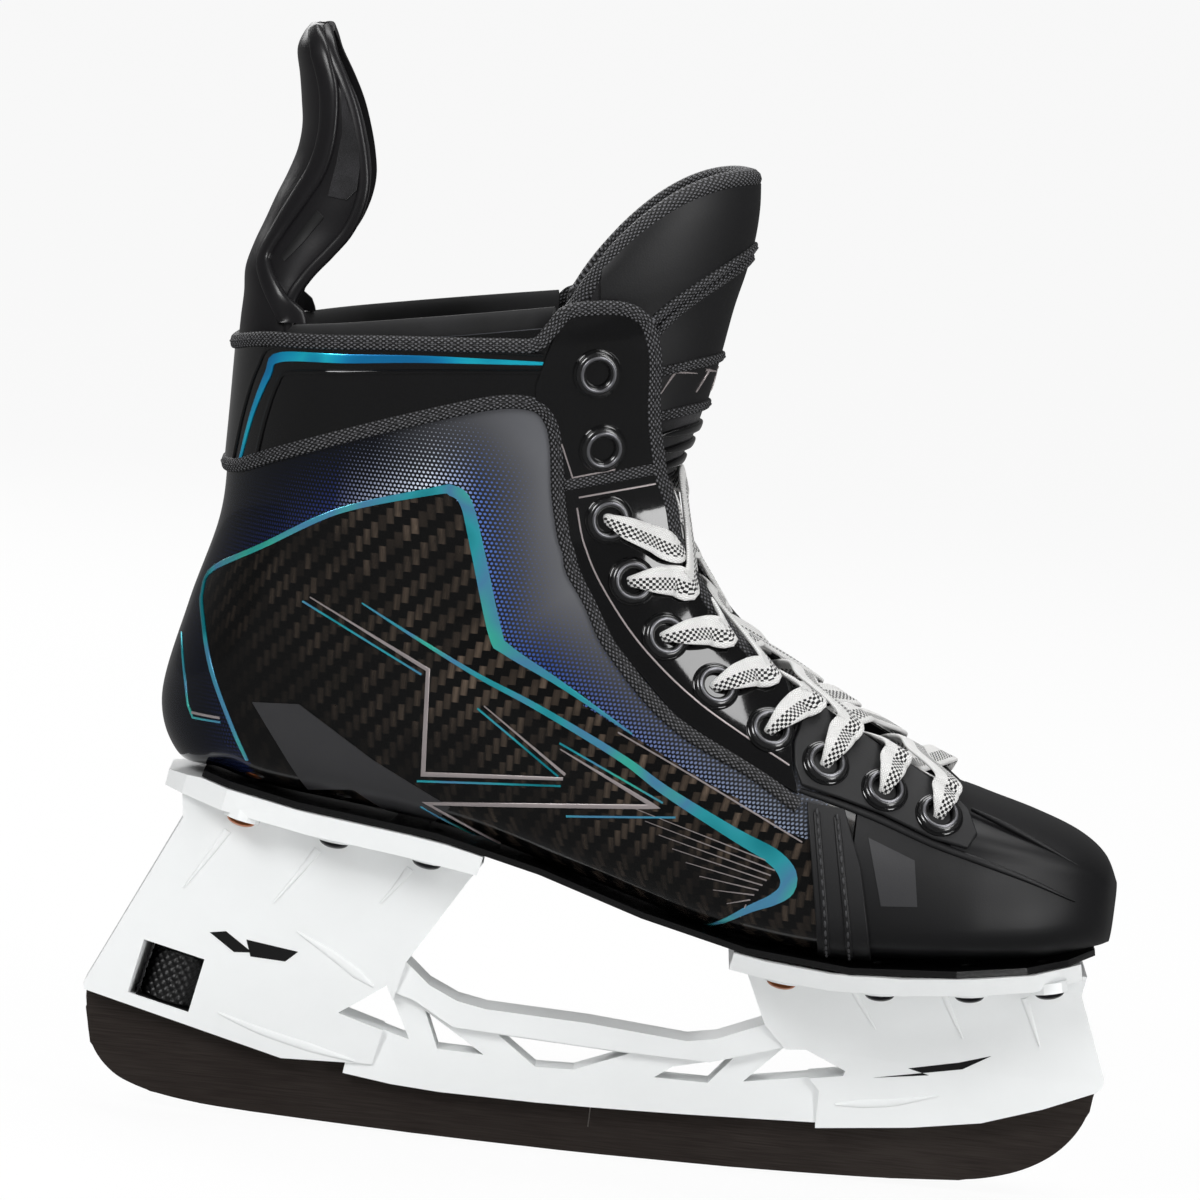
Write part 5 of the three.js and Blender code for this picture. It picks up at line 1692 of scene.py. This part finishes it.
        over, under = [], []
        for t in spread(5.4, 12.3, 50):
            swell = math.sin(math.pi * (t - 5.4) / 6.9) ** 0.6
            front, back = [], []
            for v in spread(-0.97, 0.97, 40):
                edge = max(0.0, 1 - abs(v)) ** 0.35
                at, normal = self.skin(t, v, 0)
                front.append(at - normal * 4.9)
                back.append(at - normal * (5.2 + 4.6 * swell * edge))
            over.append(front)
            under.append(back)
        pad = piece("guard_pad", wall(over, under), Stuff.FELT.material(), 70)
        settle(pad, "guard", "guard_felt", "tendon_pad")


@dataclass
class Laces:
    """The two halves of the flat lace, threaded from the lowest bar up to the third eyelet."""

    width: float = 8.8
    thick: float = 1.5
    # Where each eyelet's run crosses the throat edge, seen from the side, third eyelet first.
    crossings: tuple[Spot, ...] = ((9.6, 180.4), (14.1, 171.5), (24.6, 158.5), (37.4, 147.6),
                                   (50.0, 141.0), (61.4, 135.5), (75.8, 128.4), (91.0, 121.2))
    over: dict[int, float] = field(default_factory=lambda: {3: 4.6, 4: 3.4})
    below: dict[int, float] = field(default_factory=lambda: {3: 0.6, 4: -1.0})

    def route(self, start: int, high: bool) -> list[tuple[Vector, Vector, float, float]]:
        """Lay out one half of the lace.

        Args:
            start: Side of the first eyelet, -1 for the outer side.
            high: This half crosses over the other.

        Returns:
            Point, direction across, width and thickness, from the middle of the lowest bar upwards.
        """
        lowest = LAST.place(*EYELETS[9])[0]
        grain = self.grain(lowest)
        stops = [(LAST.edge(lowest, start * 0.4, -3.4), grain, self.width * 0.8, self.thick),
                 (LAST.edge(lowest, start * 10, -3.8), grain, self.width * 0.8, self.thick)]
        side = start
        for i in range(9, 1, -1):
            s, a = LAST.place(*EYELETS[i])
            at, normal = LAST.laid(s, side * a, 0)
            grain = self.grain(s)
            brink = LAST.point(s, side).y
            if i < 9:
                stops.append((LAST.edge(s, brink - side * 4.9, -5.4), grain, 5.0, 1.6))
            for rise, wide, thick in ((-8, 3.6, 2.2), (-2, 3.4, 2.4), (2.2, 3.4, 2.4)):
                stops.append((at + normal * rise, grain, wide, thick))
            x, z = self.crossings[i - 2]
            over_s = LAST.place(x, z)[0]
            brink_at = LAST.edge(over_s, LAST.point(over_s, side).y, 0)
            lip, lip_normal = LAST.laid(over_s, side * 0.985, 3.7)
            lean = lip - at
            stops.append((at + lean * 0.3 + normal * 4.4, grain, 7.0, 1.6))
            stops.append((at + lean * 0.66 + lip_normal * 1.5, grain, self.width, self.thick))
            stops.append((lip + Vector((0, -side * 0.8, 0.6)), grain, self.width, self.thick))
            if i == 2:
                stops.append((LAST.edge(over_s + 0.1, brink_at.y - side * 6, 2.6), grain,
                              self.width * 0.8, self.thick))
                stops.append((LAST.edge(over_s + 0.2, brink_at.y - side * 11, -1.6), grain,
                              self.width * 0.6, self.thick))
                break
            above = LAST.place(*EYELETS[i - 1])[0]
            height = self.over.get(i, 2.4) if high else self.below.get(i, -2.4)
            stops.append((LAST.edge(s + (above - s) * 0.42, side * 7, height), self.grain(s),
                          self.width, self.thick))
            stops.append((LAST.edge(s + (above - s) * 0.62, -side * 7, height), self.grain(s),
                          self.width, self.thick))
            side = -side
        return stops

    @staticmethod
    def grain(s: float) -> Vector:
        """Return the direction along the throat edge, which the lace's width follows."""
        return (LAST.point(s + 0.1, 1) - LAST.point(s - 0.1, 1)).normalized()

    def build(self) -> None:
        """Weave both halves."""
        for name, start, high in (("lace_first", -1, True), ("lace_second", 1, False)):
            stops = self.route(start, high)
            rows = [(*at, *grain, wide, thick) for at, grain, wide, thick in stops]
            fine = [through(rows, t) for t in spread(0, len(rows) - 1, (len(rows) - 1) * 7)]
            stations = []
            for i, row in enumerate(fine):
                ahead, back = fine[min(len(fine) - 1, i + 1)], fine[max(0, i - 1)]
                way = (Vector(ahead[:3]) - Vector(back[:3])).normalized()
                grain = Vector(row[3:6])
                across = (grain - way * grain.dot(way)).normalized()
                stations.append((Vector(row[:3]), across * (row[6] / 2),
                                 way.cross(across) * (row[7] / 2)))
            made = piece(name, sweep(stations, oval(16, 3.4)), Stuff.LACE.material(), 70)
            settle(made, "root", "lace_weave", f"{name}_half")


@dataclass
class Holder:
    """The white holder under the boot, with its black marks, and its lock wheel and stud."""

    wheel_radius: float = 8.4
    wheel_height: float = 15.4
    wheel_tilt: float = 12.8
    wheel_at: Spot = (-120.7, 39.1)
    # Half the width and height of the wheel's window.
    window: Spot = (8.79, 8.09)
    # Draft ribs under the flange, and fins that carry the truss arms on over the towers.
    rear_ribs: tuple[tuple[Outline, Sequence[float]], ...] = (
        (((-109.3, 83.6), (-114.4, 75.0), (-120.3, 65.6)), (2.6, 1.6, 0.4)),
        (((-83.3, 80.8), (-88.4, 72.8), (-94.4, 64.0)), (2.6, 1.6, 0.4)),
        (((-56.7, 78.2), (-60.0, 72.8), (-64.1, 67.2)), (2.6, 1.6, 0.4)),
        (((-87.0, 56.5), (-77.0, 51.2), (-69.0, 46.2), (-63.6, 42.8)), (0.5, 2.6, 3.4, 0.6)),
        (((-107.1, 30.4), (-94.6, 26.4), (-80.0, 23.0), (-67.0, 20.4)), (0.5, 2.4, 2.8, 0.6)))
    front_ribs: tuple[tuple[Outline, Sequence[float]], ...] = (
        (((100.0, 28.4), (88.0, 25.0), (79.0, 23.6), (71.0, 22.6)), (0.5, 2.4, 2.8, 0.6)),
        (((70.0, 61.0), (75.0, 53.0), (80.0, 46.0)), (2.6, 1.6, 0.4)),
        (((97.0, 61.0), (101.0, 53.0), (105.0, 46.0)), (2.6, 1.6, 0.4)),
        (((121.0, 60.0), (124.0, 53.0), (127.0, 46.0)), (2.6, 1.6, 0.4)))

    @staticmethod
    def face(half: Sequence[Spot]) -> Callable[[Side], Surface]:
        """Make the side faces of a tower from its half-widths by height."""
        def of_side(side: Side) -> Surface:
            """Pick a side."""
            def seen(x: float, z: float, rise: float) -> Frame:
                """Return a point over the face, and its normal."""
                for (y0, z0), (y1, z1) in zip(half, half[1:]):
                    if z <= z1:
                        break
                y = y0 + (y1 - y0) * (z - z0) / (z1 - z0)
                normal = Vector((0, side.value * (z1 - z0), -(y1 - y0))).normalized()
                return Vector((x, side.value * y, z)) + normal * rise, normal
            return seen
        return of_side

    def build(self) -> None:
        """Mould the holder and set its marks and wheel."""
        made = copy_of_node("holder", "holder_moulding", Stuff.NYLON.material())
        soften(made, 0.7, 3, 32)
        settle(made, "root", "holder_plastic", "holder")
        rear = self.face(((6.2, 5), (7.2, 20), (9.9, 42), (12, 62), (14.5, 90)))
        front = self.face(((6.2, 5), (7.2, 18), (9.9, 38), (14, 52), (17, 63)))
        for side in Side:
            marks = lay_panel(rear(side),
                              ((-111.6, 53.6), (-107.0, 54.4), (-99.0, 49.0), (-104.2, 48.6)), 2.0,
                              0.1, 0.4)
            marks.add(lay_panel(rear(side),
                                ((-101.0, 52.6), (-86.0, 50.6), (-89.4, 47.4), (-99.4, 47.8)), 2.0,
                                0.1, 0.4))
            marks.add(lay_panel(
                          front(side),
                          ((81.0, 31.6), (106.0, 36.8), (113.6, 41.6), (104.6, 38.6), (90.6, 35.4),
                           (96.6, 34.0)), 2.0, 0.1, 0.4))
            put(f"holder_marks_{side.label}", marks, Stuff.NYLON_BLACK, "root", "holder_plastic")
            ribs = Shape(uvs=[])
            for line, widths in self.rear_ribs:
                ribs.add(lay_strip(rear(side), line, widths, 0.4, 1.6, PILLOW, smooth=True))
            for line, widths in self.front_ribs:
                ribs.add(lay_strip(front(side), line, widths, 0.4, 1.6, PILLOW, smooth=True))
            put(f"holder_ribs_{side.label}", ribs, Stuff.NYLON, "root", "holder_plastic", crease=60)
        self.wheel()
        wear("lock_stud", Stuff.STUD)

    def wheel(self) -> None:
        """Turn the knurled lock wheel, and line its window with black as painted shade."""
        tilt = math.radians(self.wheel_tilt)
        axis = Vector((math.sin(tilt), 0, math.cos(tilt)))
        side = axis.cross(Vector((0, 1, 0))).normalized()
        centre = Vector((self.wheel_at[0], 0, self.wheel_at[1]))
        half = self.wheel_height / 2
        turns, levels = 132, 44
        profile = [(3.6, -half), (self.wheel_radius - 1.1, -half),
                   (self.wheel_radius - 0.5, -half + 0.5)]
        profile += [(None, h) for h in spread(-half + 0.9, half - 0.9, levels)]
        profile += [(self.wheel_radius - 0.5, half - 0.5), (self.wheel_radius - 1.1, half),
                    (3.6, half)]
        loops = []
        for radius, h in profile:
            loop = []
            for k in range(turns):
                angle = 2 * math.pi * k / turns
                r = radius
                if radius is None:
                    u, w = self.wheel_radius * angle / 1.45, h / 1.45
                    ridge = abs(math.sin((u + w) * math.pi / 2) * math.sin((u - w) * math.pi / 2))
                    r = self.wheel_radius - 0.62 + 0.62 * ridge ** 0.7
                loop.append(centre + axis * h + side * (r * math.cos(angle))
                            + Vector((0, r * math.sin(angle), 0)))
            loops.append(loop)
        shape = rings([*loops, loops[0]], ends=False)
        # Black liner on the window's inner walls: painted shade that keeps the window round the
        # wheel dark.
        shade_liner = []
        wide, high = self.window
        for depth, shrink in ((-8.0, 0.0), (8.0, 0.0), (8.0, 0.3), (-8.0, 0.3), (-8.0, 0.0)):
            middle = centre + Vector((0, depth, 0))
            across, up = side * (wide - shrink), axis * (high - shrink)
            shade_liner.append([middle + across * a + up * b
                         for a, b in ((-1, -1), (1, -1), (1, 1), (-1, 1))])
        put("wheel_well", rings(shade_liner, ends=False), Stuff.NYLON_BLACK, "root", "holder_plastic")
        put("knurled_wheel", shape, Stuff.NYLON_BLACK, "wheel", "lock_plastic", "lock_wheel")


@dataclass
class Runner:
    """The steel runner: a flat dark-coated blade with rounded ends and a ground rocker."""

    half_thickness: float = 1.53
    bottom: Outline = ((-145.4, 30.0), (-143.6, 19.6), (-140.6, 13.6), (-135.6, 8.9), (-130.0, 6.3),
                       (-122.0, 4.2), (-109.8, 2.6), (-95.3, 1.8), (-72.0, 1.05), (-49.0, 0.5),
                       (-26.0, 0.15), (0.0, 0.02), (21.0, 0.1), (43.0, 0.35), (66.0, 0.95),
                       (89.0, 1.9), (108.7, 3.6), (118.0, 5.3), (126.6, 8.3), (134.0, 12.8),
                       (139.4, 18.4), (142.8, 24.6), (144.5, 31.6))
    top: Outline = ((145.4, 35.6), (130.3, 29.0), (113.4, 23.1), (93.1, 19.6), (44.4, 17.2),
                    (4.3, 15.8), (-24.5, 15.4), (-53.3, 16.1), (-82.5, 20.3), (-112.0, 27.3),
                    (-145.6, 34.6))

    def build(self) -> None:
        """Grind the blade and set its centre mark; the hook and stud block keep their own shape."""
        wear("runner", Stuff.STEEL)
        rim = [spot
               for spot, _ in walk(self.bottom, 2.0,
                                   True)] + [spot for spot, _ in walk(self.top, 4.0, False)]
        loops = []
        for inset, y in ((0.28, -self.half_thickness), (0.0, -self.half_thickness + 0.28),
                         (0.0, self.half_thickness - 0.28), (0.28, self.half_thickness)):
            loop = []
            for i, (x, z) in enumerate(rim):
                (x0, z0), (x1, z1) = rim[i - 1], rim[(i + 1) % len(rim)]
                run = math.hypot(x1 - x0, z1 - z0)
                loop.append(Vector((x - (z1 - z0) / run * inset, y, z + (x1 - x0) / run * inset)))
            loops.append(loop)
        put("runner_blade", rings(loops), Stuff.STEEL, "runner_unit", "runner_steel", crease=25)
        for side in Side:
            def flank(x: float, z: float, rise: float, side: Side = side) -> Frame:
                """Return a point over the blade's flat flank, and its normal."""
                return Vector((x, side.value * (self.half_thickness + rise),
                               z)), Vector((0, side.value, 0))
            mark = lay_strip(flank, ((1.5, 13.6), (1.4, 7.6)), (0.35,), 0.03, 0.1)
            put(f"runner_tick_{side.label}", mark, Stuff.EDGE_STEEL, "runner_unit", "runner_steel")


@dataclass
class Studio:
    """A pale floor, soft lights and the camera."""

    roll: float = 6.0
    elevation: float = 6.0
    distance: float = 2.5
    target: tuple[float, float, float] = (-0.0109, 0.0, 0.1588)
    frame_width: float = 0.342
    # Brightness of the floor as a mirror-like surface sees it, as if dark flags stood before the
    # boot.
    mirrored_floor: float = 0.15

    def camera(self) -> None:
        """Set the camera at its angle."""
        roll, tip = math.radians(self.roll), math.radians(self.elevation)
        forward = Vector((0, math.cos(tip), -math.sin(tip)))
        level = Vector((0, math.sin(tip), math.cos(tip)))
        right = Vector((1, 0, 0)) * math.cos(roll) + level * math.sin(roll)
        top = Vector((1, 0, 0)) * -math.sin(roll) + level * math.cos(roll)
        data = bpy.data.cameras.new("View")
        data.sensor_width = 36
        data.lens = 36 * self.distance / self.frame_width
        data.clip_end = 60
        made = bpy.data.objects.new("View", data)
        bpy.context.scene.collection.objects.link(made)
        at = Vector(self.target) - forward * self.distance
        made.matrix_world = Matrix(((right.x, top.x, -forward.x, at.x),
                                    (right.y, top.y, -forward.y, at.y),
                                    (right.z, top.z, -forward.z, at.z), (0, 0, 0, 1)))
        bpy.context.scene.camera = made

    def light(self, name: str, place: tuple[float, float, float], size: tuple[float, float],
              power: float) -> None:
        """Add a soft rectangular light that looks at the boot."""
        data = bpy.data.lights.new(name, "AREA")
        data.shape = "RECTANGLE"
        data.size, data.size_y = size
        data.energy = power
        made = bpy.data.objects.new(name, data)
        bpy.context.scene.collection.objects.link(made)
        made.location = place
        made.rotation_euler = (Vector((0, 0,
                                       0.15)) - Vector(place)).to_track_quat("-Z", "Y").to_euler()

    def build(self) -> None:
        """Light the room and lay the floor."""
        scene = bpy.context.scene
        scene.view_settings.view_transform = "Standard"
        world = bpy.data.worlds.new("Pale room")
        world.use_nodes = True
        tree = world.node_tree
        path = node(tree, "ShaderNodeLightPath")
        strength = node(tree, "ShaderNodeMapRange",
                        {"Value": path.outputs["Is Camera Ray"], "To Min": 0.1, "To Max": 1.0})
        back = next(n for n in tree.nodes if n.type == "BACKGROUND")
        back.inputs["Color"].default_value = (1, 1, 1, 1)
        tree.links.new(strength.outputs[0], back.inputs["Strength"])
        scene.world = world
        self.light("Key", (-1.1, -1.55, 1.4), (0.7, 0.8), 26)
        self.light("Fill", (1.5, -1.5, 0.5), (0.5, 1.0), 13)
        self.light("Facing", (0.85, -0.8, 1.1), (0.5, 0.5), 5)
        self.light("Top", (0.1, 0.3, 1.6), (1.4, 0.6), 14)
        self.light("Rim", (-0.6, 1.4, 0.9), (1.2, 0.8), 10)
        mesh = bpy.data.meshes.new("Floor")
        mesh.from_pydata([(-20, -20, 0), (20, -20, 0), (20, 20, 0), (-20, 20, 0)], [],
                         [(0, 1, 2, 3)])
        paper = bpy.data.materials.new("paper_white_floor")
        paper.use_nodes = True
        tree = paper.node_tree
        shader = next(n for n in tree.nodes if n.type == "BSDF_PRINCIPLED")
        shader.inputs["Base Color"].default_value = linear("#f2f2f2")
        shader.inputs["Roughness"].default_value = 0.9
        glow = node(tree, "ShaderNodeEmission", {"Color": (1, 1, 1, 1), "Strength": 1.0})
        path = node(tree, "ShaderNodeLightPath")
        share = node(tree, "ShaderNodeMath", {0: path.outputs["Is Camera Ray"], 1: 0.93},
                     operation="MULTIPLY")
        both = node(tree, "ShaderNodeMixShader",
                    {0: share.outputs[0], 1: shader.outputs[0], 2: glow.outputs[0]})
        dim = node(tree, "ShaderNodeEmission",
                   {"Color": (1, 1, 1, 1), "Strength": self.mirrored_floor})
        shown = node(tree, "ShaderNodeMixShader",
                     {0: path.outputs["Is Glossy Ray"], 1: both.outputs[0], 2: dim.outputs[0]})
        out = next(n for n in tree.nodes if n.type == "OUTPUT_MATERIAL")
        tree.links.new(shown.outputs[0], out.inputs["Surface"])
        mesh.materials.append(paper)
        floor = bpy.data.objects.new("Floor", mesh)
        scene.collection.objects.link(floor)


def main() -> None:
    """Load the frame and build the skate around it."""
    logging.basicConfig(level=logging.INFO, format="%(name)s: %(message)s")
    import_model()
    studio = Studio()
    studio.camera()
    for part in (Boot(), Tongue(), TendonGuard(), Laces(), Holder(), Runner()):
        part.build()
    studio.build()


if __name__ == "__main__":
    main()
